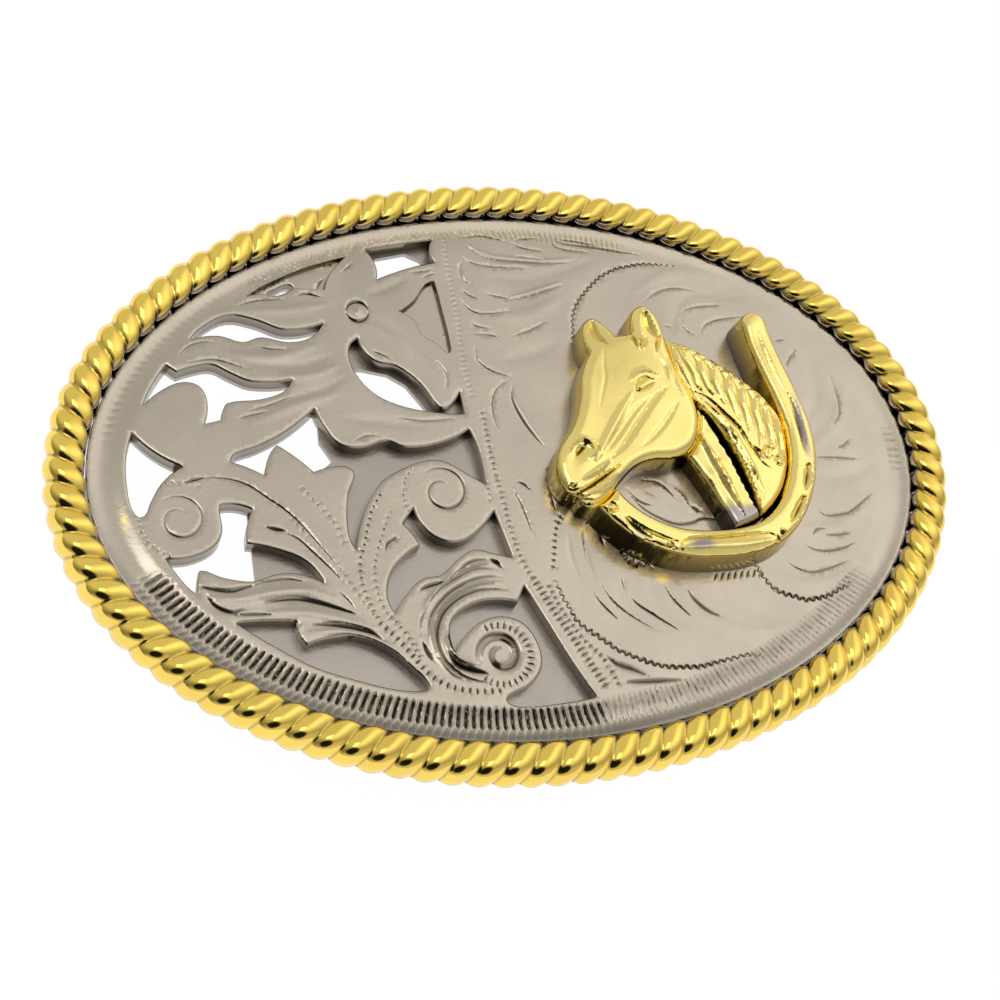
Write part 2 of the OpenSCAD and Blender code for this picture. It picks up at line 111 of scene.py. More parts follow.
def refined(outline, step):
    """The same outline with each edge cut into equal lengths no longer than the step."""
    spot, edge = outline
    start, end = spot[edge[:, 0]], spot[edge[:, 1]]
    parts = np.maximum(1, np.ceil(np.linalg.norm(end - start, axis=1) / step).astype(int))
    owner = np.repeat(np.arange(len(edge)), parts)
    rank = np.arange(len(owner)) - np.repeat(np.cumsum(parts) - parts, parts)
    share = (rank / parts[owner])[:, None]
    new_spot = start[owner] * (1 - share) + end[owner] * share
    inner = rank > 0
    number = np.where(inner, len(spot) + np.cumsum(inner) - 1, edge[owner, 0])
    last = rank == parts[owner] - 1
    follower = np.where(last, edge[owner, 1], np.roll(number, -1))
    return np.vstack([spot, new_spot[inner]]), np.stack([number, follower], 1)


def is_inside(points, outline):
    """True for points from which a ray along +X crosses the outline an odd number of times."""
    spot, edge = outline
    (ax, ay), (bx, by) = spot[edge[:, 0]].T, spot[edge[:, 1]].T
    rise = np.where(by == ay, 1e-12, by - ay)
    found = []
    for part in np.array_split(points, len(points) // 4000 + 1):
        x, y = part[:, :1], part[:, 1:]
        straddles = (ay > y) != (by > y)
        found.append((straddles & (x < ax + (y - ay) * (bx - ax) / rise)).sum(1) % 2 == 1)
    return np.concatenate(found)


def edge_distance(points, outline):
    """Distance (mm) from each point to the nearest edge of the outline."""
    spot, edge = outline
    start, run = spot[edge[:, 0]], spot[edge[:, 1]] - spot[edge[:, 0]]
    length2 = (run ** 2).sum(1)
    found = []
    for part in np.array_split(points, len(points) // 4000 + 1):
        gx, gy = part[:, :1] - start[:, 0], part[:, 1:] - start[:, 1]
        along = np.clip((gx * run[:, 0] + gy * run[:, 1]) / length2, 0, 1)
        found.append(((gx - along * run[:, 0]) ** 2 + (gy - along * run[:, 1]) ** 2).min(1))
    return np.sqrt(np.concatenate(found))


def right_of(outline):
    """Unit vector to the right of each edge, which points out of the metal."""
    spot, edge = outline
    run = spot[edge[:, 1]] - spot[edge[:, 0]]
    return unit(np.stack([run[:, 1], -run[:, 0]], 1))


def outward(outline):
    """Unit vector at each outline point that points out of the metal: the mean of its edges'."""
    spot, edge = outline
    right = right_of(outline)
    total = np.zeros_like(spot)
    np.add.at(total, edge[:, 0], right)
    np.add.at(total, edge[:, 1], right)
    return unit(total)


def rows_inside(outline, offsets):
    """Rows of points that follow the outline at each offset (mm) into the metal."""
    spot, away = outline[0], outward(outline)
    rows = [spot - offset * away for offset in offsets]
    kept = [row[edge_distance(row, outline) > 0.85 * offset] for row, offset in zip(rows, offsets)]
    return np.vstack(kept)


def grid_over(outline, spacing):
    """Points of a triangular grid over the outline's box."""
    low, high = outline[0].min(0), outline[0].max(0)
    x, y = np.meshgrid(np.arange(low[0], high[0], spacing),
                       np.arange(low[1], high[1], spacing * 0.866))
    x = x + spacing / 2 * (np.arange(len(x)) % 2)[:, None]
    return np.stack([x.ravel(), y.ravel()], 1)


def triangles_over(spot, edge, outline):
    """Delaunay triangles of the points that keep to the edges and lie inside the outline."""
    places, _, faces, *_ = delaunay_2d_cdt([Vector(p) for p in spot.tolist()], edge.tolist(),
                                           [], 0, 1e-6)
    triangle = np.array(faces)
    flat = np.array([p[:] for p in places])
    middle = flat[triangle].mean(1)
    triangle = triangle[is_inside(middle, outline)]
    triangle = triangle[abs(turn_of(flat, triangle)) > 1e-9]
    return flat, facing_up(flat, triangle)


def piece_of(name, points, faces, material, sharp=35, **shares):
    """A mesh piece from points (mm) and faces, smooth but at edges sharper than the angle. Each of
    the shares is kept with the points: gilt is gold plating, dark is painted shade that dulls the
    metal towards black in recesses, along edges and at the foot of walls."""
    mesh = bpy.data.meshes.new(name)
    mesh.from_pydata(points * MM, [], faces)
    mesh.shade_smooth()
    mesh.set_sharp_from_angle(angle=math.radians(sharp))
    for share, value in shares.items():
        attribute = mesh.attributes.new(share, "FLOAT", "POINT")
        attribute.data.foreach_set("value", np.clip(value, 0, 1).astype(np.float32))
    mesh.materials.append(material)
    piece = bpy.data.objects.new(name, mesh)
    bpy.context.scene.collection.objects.link(piece)
    return piece


def relief(name, outline, loose, height, gilt, foot, material, step=0.3, cell=0.1, draft=0.0,
           ties=None, painted_wall_shade=0.6):
    """A closed casting with a carved top. Its top is triangles over the outline, the ties (an
    inner outline) and the loose points. height(points, distance from the outline) gives how high
    each point is and how dark its painted shade is. Walls go down from the outline to the foot and
    spread by the draft, and a flat face closes it below. The walls' foot points take the painted
    wall shade, so each wall is painted darker towards its foot."""
    clear = 0.03
    rim = refined(outline, step)
    ties = rim if ties is None else refined(ties, step)
    _, keep = np.unique(np.floor(loose / cell), axis=0, return_index=True)
    loose = loose[np.sort(keep)]
    loose = loose[is_inside(loose, outline)]
    loose = loose[edge_distance(loose, outline) > clear]
    n = len(rim[0])
    spot, edge = np.vstack([rim[0], loose]), rim[1]
    if ties is not rim:
        loose = loose[edge_distance(loose, ties) > clear]
        spot = np.vstack([rim[0], ties[0], loose])
        edge = np.vstack([rim[1], ties[1] + n])
    flat, top = triangles_over(spot, edge, outline)
    away = edge_distance(flat, outline)
    level, dark = height(flat, away)
    upper = np.column_stack([flat, level])
    spread = rim[0] + draft * outward(rim)
    lower = np.column_stack([spread, np.full(n, foot)])
    a, b = rim[1].T
    low_a, low_b = a + len(flat), b + len(flat)
    wall = np.concatenate([np.stack([low_a, low_b, b], 1), np.stack([low_a, b, a], 1)])
    _, base = triangles_over(rim[0], rim[1], outline)
    base = base[:, ::-1] + len(flat)
    points = np.vstack([upper, lower])
    faces = np.concatenate([top, wall, base])
    # Painted shade: the foot of each wall gets the given darkness, so the walls darken downwards
    dark = np.concatenate([dark, np.full(n, painted_wall_shade)])
    return piece_of(name, points, faces, material, gilt=gilt(points), dark=dark)


def smooth(points, step=0.2):
    """Points no more than a step apart on a curve through the given ones: cubic Hermite spans whose
    tangent at a point is parallel to the line between its two neighbours."""
    p = np.array(points, float)
    chord = np.linalg.norm(np.diff(p, axis=0), axis=1)
    lean = unit(np.gradient(p, axis=0))
    spans = []
    for i, length in enumerate(chord):
        t = np.linspace(0, 1, max(2, math.ceil(length / step) + 1))[:-1, None]
        along = p[i] * (2 * t ** 3 - 3 * t ** 2 + 1) + p[i + 1] * (3 * t ** 2 - 2 * t ** 3)
        bow = lean[i] * (t ** 3 - 2 * t ** 2 + t) + lean[i + 1] * (t ** 3 - t ** 2)
        spans.append(along + length * bow)
    return np.vstack([*spans, p[-1:]])


def across(path):
    """Unit vector to the left of the path at each of its points."""
    run = np.gradient(path, axis=0)
    return unit(np.stack([-run[:, 1], run[:, 0]], 1))


def beside(strokes):
    """Rows of mesh points along strokes, at shares of their width, so that each stroke keeps its
    bottom and its lips. A broad one has fewer."""
    rows = []
    for width, _, points in strokes:
        path = smooth(points)
        side = across(path)
        shares = (0, -0.28, 0.28, -0.56, 0.56) if width < 1.2 else (0, -0.25, 0.25)
        rows += [path + side * width * share for share in shares]
    return np.vstack(rows)


def carved(spot, strokes):
    """Height left by strokes (width, depth, points), and the depth cut: each cuts a V that
    narrows towards its ends, and the deepest counts. A negative depth is a rounded ridge, which
    is added."""
    cut, ridge = np.zeros(len(spot)), np.zeros(len(spot))
    for width, depth, points in strokes:
        path = smooth(points)
        near = np.flatnonzero(((spot > path.min(0) - width) & (spot < path.max(0) + width)).all(1))
        if not near.size:
            continue
        run = np.diff(path, axis=0)
        gap = spot[near, None] - path[:-1]
        along = np.clip((gap * run).sum(-1) / np.maximum((run ** 2).sum(-1), 1e-12), 0, 1)
        away = np.linalg.norm(gap - along[..., None] * run, axis=-1)
        k = away.argmin(1)
        row = np.arange(len(near))
        place = (k + along[row, k]) / len(run)
        swell = np.sqrt(np.sin(np.pi * np.clip(place, 0.02, 0.98)))
        share = np.clip(1 - away[row, k] / (width / 2 * swell), 0, 1)
        if depth > 0:
            cut[near] = np.minimum(cut[near], -depth * share * swell)
        else:
            ridge[near] -= depth * swell * share ** 2 * (3 - 2 * share)
    return cut + ridge, -cut


def resampled(points, pitch):
    """Points at an even pitch along the smooth curve through the given points."""
    path = smooth(points)
    walked = np.concatenate([[0], np.cumsum(np.linalg.norm(np.diff(path, axis=0), axis=1))])
    at = np.linspace(0, walked[-1], max(2, round(walked[-1] / pitch) + 1))
    return np.stack([np.interp(at, walked, path[:, k]) for k in range(2)], 1)


def serrated(points, tooth=0.75, reach=0.17, width=0.32, depth=0.2):
    """A line cut with a wriggled graver: it swings to either side once for each tooth."""
    path = resampled(points, tooth / 2)
    swing = np.where(np.arange(len(path)) % 2, reach, -reach)[:, None]
    return [(width, depth, path + across(path) * swing)]


def ticks(points, pitch=0.7, length=0.5, width=0.22, depth=0.14, shift=0.0, lean=0.0):
    """Short cuts across a path, one for each pitch, shifted to its left and leaning along it."""
    path = resampled(points, pitch)
    side = across(path)
    ahead = np.stack([side[:, 1], -side[:, 0]], 1)
    arm = side * length / 2 + ahead * lean
    middle = path + side * shift
    return [(width, depth, [a, b]) for a, b in zip(middle - arm, middle + arm)]


def ring(cx, cy, radius, first=0, last=360, count=24, grow=0.0):
    """Points round a circle, or round a spiral whose radius grows by a share over the arc."""
    angle = np.radians(np.linspace(first, last, count))
    r = radius * (1 + grow * np.linspace(0, 1, count))
    return np.stack([cx + r * np.cos(angle), cy + r * np.sin(angle)], 1)


# Right half: plumes and feathers round the horse, each (width, depth, points). They are cut to
# the finer and shallower shares of those figures
finer, shallower = 0.8, 0.72
feathers = [
    (0.3, 0.14, [(-2, 27.1), (0.2, 27.2), (2.6, 26.5)]),
    (0.25, 0.12, [(3.7, 26.6), (4.4, 26.8), (6.2, 26.85)]),
    (0.25, 0.12, [(3.3, 26.5), (3.8, 25.9), (4.8, 25.5), (6.6, 25.2)]),
    (0.42, 0.2, [(8.1, 26.9), (9, 26.2), (10.5, 25.9), (13, 25.5), (15, 25.1), (17.6, 24.6)]),
    (0.3, 0.12, [(8.6, 26.7), (10.5, 26.4), (13, 25.8)]),
    (0.25, 0.12, [(7.7, 26.4), (8.1, 25.8), (9.4, 25.3), (11.8, 25)]),
    (0.9, -0.12, [(-2.1, 26.6), (-0.8, 25.4), (1, 24.6), (4, 24.2), (7, 24), (10, 24.2)]),
    (0.35, 0.14, [(-2.1, 26.3), (-0.8, 25), (1, 24.2), (4, 23.8), (7, 23.6), (10, 23.8)]),
    (0.3, 0.14, [(3.3, 24.6), (4.6, 24.4), (6, 24.2), (7, 24)]),
    (0.25, 0.12, [(-2.6, 24.9), (-1.9, 24), (0, 23.4), (2, 23.2), (5, 23.1)]),
    (0.25, 0.12, [(-2.8, 23.9), (-3.1, 22.8), (-2.8, 21.8), (-2.1, 21.1)]),
    (0.7, -0.1, [(2, 19.6), (4, 20), (6, 20.6), (8, 21.3)]),
    (0.3, 0.13, [(1.8, 19.25), (4, 19.6), (6, 20.2), (8, 20.9)]),
    (0.25, 0.12, [(-3.3, 20.7), (-2.6, 19.9), (-1.6, 19.4)]),
    (0.25, 0.12, [(-0.6, 20), (1, 19.5), (2.5, 19.3)]),
    (0.25, 0.13, [(-3.6, 19.6), (-3, 18.4), (-2, 17.7), (-0.4, 17.6), (1.6, 17.9)]),
    (0.25, 0.13, [(-2.8, 16.9), (-2.5, 16.2), (-1, 15.8)]),
    (0.25, 0.13, [(-2.8, 15.2), (-0.4, 14.8), (0, 13.9)]),
    (0.3, 0.13, [(1.6, 14.9), (3, 15.3), (4.6, 16), (5.4, 16.5)]),
    (0.3, 0.13, [(-3, 13.6), (-2.8, 12), (-1.6, 10.8), (0.4, 10)]),
    (0.25, 0.13, [(-0.5, 9.4), (-1.6, 8.4), (-2.2, 6.8), (-2.2, 5), (-1.9, 3.6)]),
    (0.5, 0.2, [(-0.7, 9.5), (-0.4, 9.3)]),
    (0.6, 0.25, [(0.3, 8.8), (0.1, 7.4), (0.8, 5), (1.8, 3), (2.6, 1.8)]),
    (0.3, 0.12, [(17.2, 18.8), (18.6, 19.7), (20.4, 20.2), (22, 20.1), (23.6, 19.8)]),
    (0.3, 0.12, [(20.9, 17), (21.6, 17.5), (23, 17.8), (26, 18)]),
    (0.3, 0.12, [(20.6, 16.6), (20.9, 15.4), (21.5, 14.6), (22.2, 14.2)]),
    (0.3, 0.12, [(22.8, 14.8), (23.6, 15.6), (25, 16.1), (28, 16.5)]),
    (0.25, 0.1, [(18.7, 15.6), (19.6, 15.4)]),
    (0.25, 0.1, [(31.2, 13.3), (32.4, 13.5)]),
    (0.25, 0.12, [(31.8, 10.2), (32.6, 11.2), (33.4, 12)]),
    (0.3, 0.12, [(36.8, 9), (37, 7), (36.9, 5), (36.5, 3.8), (35.6, 2.8)]),
    (0.25, 0.1, [(35.4, 0), (36.3, 0.4), (37, 1)]),
    (0.25, 0.12, [(32.6, -0.9), (35, -1.1), (37.5, -1.4)]),
    (0.3, 0.13, [(31.2, -7), (32, -7.7), (33.6, -7.7), (35, -7.4), (38, -5.5)]),
    (0.3, 0.12, [(29.9, -9.8), (30.6, -9.2), (31.6, -9.2)]),
    (0.25, 0.12, [(31.4, -9.9), (33, -10), (34.3, -9.8)]),
    (0.35, 0.15, [(28.9, -10.9), (29.6, -11.4), (31, -11.7), (33, -11.5), (34.4, -11)]),
    (0.3, 0.14, [(26.1, -12.2), (27, -13.2), (28.6, -13.9), (30.6, -13.7), (33, -13)]),
    (0.35, 0.16, [(4.7, -14.2), (5.3, -15.6), (6.8, -17.6)]),
    (0.4, 0.18, [(5.8, -13.8), (6.6, -15.5), (8.5, -17.4), (10.6, -18.9)]),
    (0.4, 0.18, [(8.5, -14.8), (8.9, -15.8), (10.5, -17.2), (12.9, -19.1)]),
    (0.35, 0.16, [(12.4, -14.3), (13, -15.8), (14.5, -17.8)]),
    (0.7, 0.22, [(14.7, -14.6), (15.3, -16), (16.4, -17.2), (17.8, -18)]),
    (0.3, 0.12, [(8, -13), (8, -14.4)]),
    (0.3, 0.12, [(6.7, -7.5), (6.8, -9.5)]),
    (0.3, 0.14, [(5.3, -7), (6.2, -6.5), (7.4, -6.3)]),
    (0.8, 0.08, [(3.2, -8), (3.1, -10.5), (3.6, -13)]),
    (0.8, 0.08, [(4.9, -8), (4.8, -11), (5.2, -13)]),
    (0.3, 0.12, [(2.5, -0.5), (2.3, -3), (2.4, -5)]),
    (0.4, 0.18, [(-1.1, -1.9), (-0.4, -2.3), (0.2, -3)]),
    (0.3, 0.14, [(-1.7, -2.6), (-1, -4.6), (-0.4, -8)]),
    (1.1, 0.3, [(4.7, -21), (5.5, -21.9), (7, -22.6), (8.7, -23.5)]),
    (0.8, 0.28, [(6, -23.9), (7.5, -24), (12, -24.2)]),
    (0.35, 0.15, [(10.5, -3.4), (11.5, -4.8), (12.8, -5.4)]),
    (0.35, 0.15, [(12.5, -2.5), (13.4, -2.6), (14.4, -3.2), (15.2, -4.2), (15.8, -5)]),
    (0.4, 0.17, [(10.6, -3.8), (11.6, -5.4), (13, -6.6), (15, -7.6), (16.6, -7.6), (18.4, -7.1),
                 (19.8, -7.4), (21.4, -8.1)]),
    (0.35, 0.15, [(18.1, -0.7), (18.8, -2.8), (19.8, -3.8), (20.8, -5.6), (21.6, -7.5)]),
    (0.3, 0.14, [(17.1, -5.7), (18.1, -6.4)]),
    (1.2, -0.12, [(12.2, -4), (13.4, -5), (14.6, -6.4)]),
    (1.2, -0.12, [(14.8, -3), (16.2, -4.6), (16.8, -6.2)]),
]
# Broad, shallow flutes that catch the light between the engraved lines
flutes = [
    (2.2, 0.07, [(7, -13.5), (8.2, -16.5), (11, -19)]),
    (2.2, 0.07, [(10.5, -13.5), (11.6, -16.5), (14, -18.8)]),
    (2.4, -0.07, [(13.5, -14), (15, -17), (19, -19.5), (24, -20)]),
    (2.4, 0.07, [(17.5, -14), (19, -16.5), (23, -18.5), (27, -18.8)]),
    (2.2, -0.06, [(24, -13), (27, -15), (31, -15), (34, -13.5)]),
    (2.4, -0.06, [(29, -9), (33, -9), (37, -7)]),
    (2.4, 0.06, [(31.5, -3), (35, -3.4), (38.5, -2.4)]),
    (2.6, 0.05, [(32, 3), (34.5, 6.5), (34.5, 11)]),
    (2.6, -0.05, [(31.8, 0), (36, 3), (38.5, 8)]),
    (2.8, 0.05, [(19, 14), (22, 19), (29, 19)]),
    (2.8, -0.05, [(16, 20), (22, 22.3), (29, 20.5)]),
    (2.6, 0.05, [(0, 22), (5, 21.8), (12, 24)]),
    (2.6, -0.05, [(-1, 17), (4, 17.6), (8, 19.5)]),
    (2.6, 0.05, [(0, 12), (4, 13), (6, 14)]),
]
# Left half: shading lines of the petals and leaves, and the lines of the scrolls
petal_lines = [
    (0.25, 0.1, [(-33.4, 14), (-32, 14.9), (-30.2, 15.2)]),
    (0.25, 0.1, [(-25.4, 14.4), (-24.4, 14.1), (-22.6, 14)]),
    (0.25, 0.12, [(-27, 19.3), (-25.2, 19.7), (-22.4, 19.9)]),
    (0.3, 0.14, [(-20.8, 20.3), (-20, 20.45), (-18.3, 20)]),
    (0.25, 0.12, [(-18.7, 21.2), (-18.2, 22), (-17.7, 22.6)]),
    (0.25, 0.1, [(-15.7, 23.1), (-15, 23.6), (-14.6, 24.1)]),
    (0.25, 0.09, [(-32.6, 12.95), (-30, 13.05), (-27.8, 12.3), (-26.8, 11.9)]),
    (0.25, 0.1, [(-28.2, 6.5), (-26.6, 6.8), (-25.4, 7.1)]),
    (0.25, 0.08, [(-27.2, 7.3), (-25, 7.8), (-22.5, 8.8)]),
    (0.25, 0.1, [(-8.6, 22.8), (-7, 22.85), (-6.2, 23.2)]),
    (0.25, 0.1, [(-7.2, 22.2), (-5.9, 22.6)]),
    (0.25, 0.09, [(-14, 13.6), (-13, 13.1), (-12, 12.6)]),
    (0.25, 0.08, [(-7.4, 12.4), (-6.6, 11), (-6.5, 9.8), (-6.8, 9)]),
    (0.25, 0.09, [(-17, 3.5), (-15.8, 3.9), (-14.8, 3.9)]),
    (0.25, 0.08, [(-12.6, 5.9), (-9.6, 5.3), (-6.4, 5.5)]),
    (1.6, -0.07, [(-29, 13.8), (-24, 13.2), (-19, 14.6)]),
    (1.6, 0.07, [(-27, 12.6), (-22, 12.1), (-18, 13.2)]),
    (1.6, -0.07, [(-24, 10.9), (-20.5, 11), (-17.6, 12)]),
    (1.6, 0.06, [(-23.6, 8.2), (-20, 9.2), (-17, 10.6)]),
    (1.8, -0.06, [(-27, 5.8), (-22, 7.9), (-17.8, 8.8)]),
    (1.8, 0.06, [(-18, 6), (-14, 5.4), (-9, 4.6)]),
    (1.6, -0.07, [(-14, 17), (-11.6, 15), (-9.8, 12.4)]),
    (1.6, 0.06, [(-12.6, 17.4), (-9.8, 14.6), (-7.6, 11)]),
    (1.6, -0.06, [(-26.8, 18.6), (-22.4, 18.6), (-17.6, 19.2)]),
    (1.4, 0.06, [(-13.6, 20.2), (-11.6, 20.8), (-9, 22.1)]),
]
scroll_lines = [
    (0.4, 0.2, [(-34.2, -0.25), (-33.4, 0), (-32.4, 0.15)]),
    (0.25, 0.12, [(-32.9, 0.1), (-31.5, 0.15), (-29.6, -0.2), (-28, -1), (-26.6, -2.2),
                  (-25, -3.6), (-23.6, -5.2), (-22.4, -7), (-21.2, -8.8), (-20.2, -10.4)]),
    (0.45, 0.22, [(-27, -5.3), (-26.2, -5.6), (-25.1, -5.9)]),
    (0.3, 0.13, [(-25.4, -5.9), (-24, -6.8), (-22.8, -8.2), (-21.4, -9.9), (-20.3, -11.4)]),
    (0.25, 0.1, [(-20.8, -12.4), (-20, -13.4), (-19.4, -14.4)]),
    (0.6, 0.24, [(-33.9, -11), (-32.6, -11.4), (-31, -11.65), (-30, -11.5), (-28.7, -11.2)]),
    (0.3, 0.13, [(-29, -11.3), (-27.6, -10.95), (-25.6, -10.85), (-24, -11.2)]),
    (0.6, 0.26, [(-27.8, -13), (-25, -12.9), (-23, -13.4), (-21, -14.2), (-19.3, -14.95)]),
    (0.6, 0.2, [(-33.4, -11.8), (-32.7, -13), (-31.2, -13.8), (-29.8, -13.5)]),
    (0.35, 0.15, [(-31.4, -14), (-29.4, -14.15), (-27.4, -14.3)]),
    (0.6, 0.26, [(-23.7, -15.6), (-21.6, -15.8), (-19.6, -16.3), (-18, -17), (-16.8, -18)]),
    (0.9, -0.2, [(-24.9, -15.6), (-25.3, -16.6), (-24.9, -18.1)]),
    (1.6, -0.2, [(-33, -12.2), (-30.5, -12.5), (-27, -12.1), (-23.6, -12.2), (-21, -13.3)]),
    (1.4, -0.2, [(-24, -16.4), (-21, -16.5), (-18.4, -17.4), (-16, -19), (-14.4, -21)]),
    (1.4, -0.16, [(-28, -14.1), (-24, -14.4), (-20, -15.6), (-17.6, -16.6)]),
    (0.5, 0.24, [(-5.4, -10.1), (-4.8, -10.5), (-4.2, -11.2)]),
    (0.4, 0.15, [(-5.4, -10.2), (-7, -10.2), (-8.6, -11), (-10.2, -12.2)]),
    (0.5, 0.24, [(-12.9, -12.9), (-11.8, -12.5), (-10.3, -12.2)]),
    (0.5, 0.14, [(-4.8, -11.2), (-7, -11.1), (-9, -11.9), (-11.4, -13.5), (-13, -15.5),
                 (-13.6, -17.4)]),
    (0.5, 0.15, [(-4.5, -12), (-6.5, -12), (-8.6, -12.6), (-10.6, -13.8), (-12.2, -15.6),
                 (-12.8, -17.4)]),
    (0.5, 0.2, [(-4.1, -13.5), (-5.8, -13.3), (-7.4, -13.4), (-9.4, -14.2), (-11, -15.6),
                (-11.8, -17.6), (-11.7, -19.4), (-10.9, -21), (-9.4, -22.2), (-7.2, -22.9)]),
    (0.8, 0.32, [(-11, -19.4), (-10.4, -20.6), (-9.2, -21.3), (-7.4, -21.9)]),
    (0.6, 0.26, [(-13.4, -18.2), (-13, -19.4), (-12.6, -20.2)]),
    (0.9, -0.22, [(-4.4, -12.8), (-7, -12.7), (-9.8, -13.7), (-11.9, -16), (-12.2, -19),
                  (-11, -21.6), (-8.6, -22.8)]),
    (0.9, -0.18, [(-4.9, -10.7), (-7.4, -10.7), (-9.8, -12), (-12.3, -14.4), (-13.3, -17)]),
    (0.8, -0.2, [(-10.8, -17.4), (-10.9, -18.8), (-10, -20.2), (-8.4, -21)]),
    (0.35, 0.16, [(-15.7, -8.6), (-15.3, -7.8), (-14.4, -7.3)]),
    (0.5, 0.2, [(-14.9, -7.5), (-14.2, -7.3)]),
]
spiral = (-5.9, -20.1)
curls = [
    (0.7, 0.2, ring(*spiral, 0.75, 80, 560, 30, 2.4)),
    (0.6, -0.2, ring(*spiral, 0.45, 80, 560, 30, 3.4)),
    (0.4, 0.15, ring(-8.9, -2.6, 1.0, 60, 480, 26, 1.7)),
    (0.4, 0.12, ring(-35.1, -4.1, 1.0, 60, 480, 26, 1.6)),
]
flower_ring = [
    (0.5, 0.22, ring(-14.8, 18.2, 1.15, 0, 180, 16)),
    (0.5, 0.22, ring(-14.8, 18.2, 1.15, 180, 360, 16)),
    (1.6, -0.16, [(-15.1, 18.2), (-14.5, 18.2)]),
]
# Serrated lines round the feathers, and the loops at the ends of two of them
upper_line = [(22.1, 22.9), (20, 23.2), (18, 23.4), (16.4, 23.2), (14.6, 22.8), (12.8, 22),
              (11.4, 20.9), (10.2, 19.7), (9.1, 18.3), (8.5, 17), (8.2, 15.4), (8, 14), (8.2, 12.6)]
lower_line = [(1, -12.8), (1.3, -14.3), (1.9, -15.9), (2.4, -17.2), (3.2, -18.1), (4.6, -19.3),
              (6, -20.5), (7.4, -21.3), (9, -22.1), (10.8, -22.7), (12.6, -22.9), (14, -23),
              (15.6, -22.8), (17.5, -22.5), (19.5, -22.2), (21, -22.4)]
right_line = [(22.7, -12.6), (23.2, -13.9), (23.8, -15), (25, -16), (26.2, -16.4), (27.4, -16.9),
              (28.6, -16.8), (30, -16.6), (31.4, -16), (33.1, -15.3)]
toe_line = [(7.7, -6.5), (8, -8), (8.3, -9.7), (9, -11), (9.9, -11.6), (11.4, -11.9)]
serrations = (serrated(upper_line, 0.7, 0.14, 0.28, 0.16) + serrated(lower_line)
              + serrated(right_line) + serrated(toe_line, 0.8, 0.22, 0.34, 0.22)
              + ticks([(2.8, -6), (2, -7.6), (1.5, -9.5), (1, -11.4)], 0.75, 0.45, 0.3, 0.14))
# Rows of punched ticks along the stems and round the scrolls: path, pitch, length, width, depth
punches = (
    ticks(ring(-35, -4, 3.9, 60, 250), 0.62, 0.28, 0.24, 0.1)
    + ticks(ring(-8.6, -3, 4.4, -10, 200), 0.62, 0.28, 0.24, 0.1)
    + ticks([(-23, -1.4), (-21.6, -3.4), (-20.2, -5.4), (-19.6, -7.4)], 0.8, 0.3, 0.24, 0.1)
    + ticks([(-15.4, -2.6), (-16.6, -4.6), (-17.6, -7.6), (-18.4, -10), (-18.2, -13), (-17.2, -16)],
            0.7, 0.4, 0.24, 0.12)
    + ticks([(-14.6, -4.4), (-15.8, -7), (-16.9, -10), (-17, -13), (-16.2, -15.6)],
            0.7, 0.3, 0.24, 0.1)
    + ticks([(-24.4, -4.6), (-22.4, -7.2), (-20.6, -9.6), (-19.2, -12.4), (-17.8, -15)],
            0.75, 0.3, 0.22, 0.1)
    + ticks([(-17.2, -16), (-15.8, -17.6), (-14.6, -19.4), (-13.4, -21.2), (-11.8, -22.6),
             (-9.2, -23.5), (-6.6, -23.7)], 0.72, 0.6, 0.3, 0.2)
    + ticks([(-16, -15.4), (-14.8, -17.4), (-13.9, -19.6)], 0.7, 0.4, 0.24, 0.14)
    + ticks(ring(*spiral, 3, -130, 110), 0.62, 0.7, 0.26, 0.18)
    + ticks([(-4.3, 26.6), (-4.4, 22), (-4.3, 17), (-4.5, 12), (-4.2, 8)], 0.6, 0.5, 0.22, 0.05)
    + ticks([(-3.4, 6), (-3.3, 1), (-2.9, -4), (-2.4, -9), (-1.4, -12.4)], 0.65, 0.45, 0.22, 0.11)
    + ticks([(-1.6, -12.6), (-0.1, -16), (1.7, -19.8), (3.7, -24.2)], 0.62, 0.8, 0.28, 0.17, 0.35)
    + ticks([(0.2, -13.4), (1.1, -16), (2.6, -19), (4.4, -21.4), (5.4, -24)], 0.66, 0.5, 0.28, 0.14)
    + ticks([(18, -13.6), (23, -13.6)], 0.75, 0.9, 0.24, 0.09, 0, 0.25)
)
feathers = [(finer * width, shallower * depth, points) for width, depth, points in feathers]
engraved = (feathers + flutes + petal_lines + scroll_lines + curls + flower_ring + serrations
            + punches)

# Bands of radial flutes inside the rope: nearest and farthest distance (mm) from the plate's
# edge, first and last angle round the oval, pitch, lean, depth
tick_bands = [
    (1.4, 3.5, 199, 277, 0.82, 0.22, 0.3),
    (0.3, 1.3, 199, 277, 0.82, -0.1, 0.12),
    (1.2, 4.0, 273, 330, 0.64, -0.12, 0.07),
    (1.0, 2.5, 66, 131, 0.62, 0.45, 0.06),
    (1.0, 2.4, 352, 366, 0.8, 0.0, 0.06),
    (0.8, 2.0, 131, 172, 0.9, 0.2, 0.03),
]
plate_low, plate_high = (np.array(corner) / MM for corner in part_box("front_plate"))
plate_a, plate_b = plate_high[0], plate_high[1]
face_z = plate_high[2]
step_z = face_z - 0.2
pocket_z = face_z - 1.0


def walked_round(a, b, angle):
    """Distance (mm) walked round an oval with half-axes a and b to each of a row of angles: its
    speed per radian, summed by the trapezium rule."""
    run = np.hypot(a * np.sin(angle), b * np.cos(angle))
    return np.concatenate([[0], np.cumsum((run[1:] + run[:-1]) / 2 * np.diff(angle))])


def on_oval(a, b, angle):
    """Points of the oval at the angles, and the unit vectors that point straight out of it."""
    place = np.stack([a * np.cos(angle), b * np.sin(angle)], -1)
    return place, unit(np.stack([b * np.cos(angle), a * np.sin(angle)], -1))


oval_angle = np.linspace(0, 2 * np.pi, 1441)
oval_walk = walked_round(plate_a, plate_b, oval_angle)


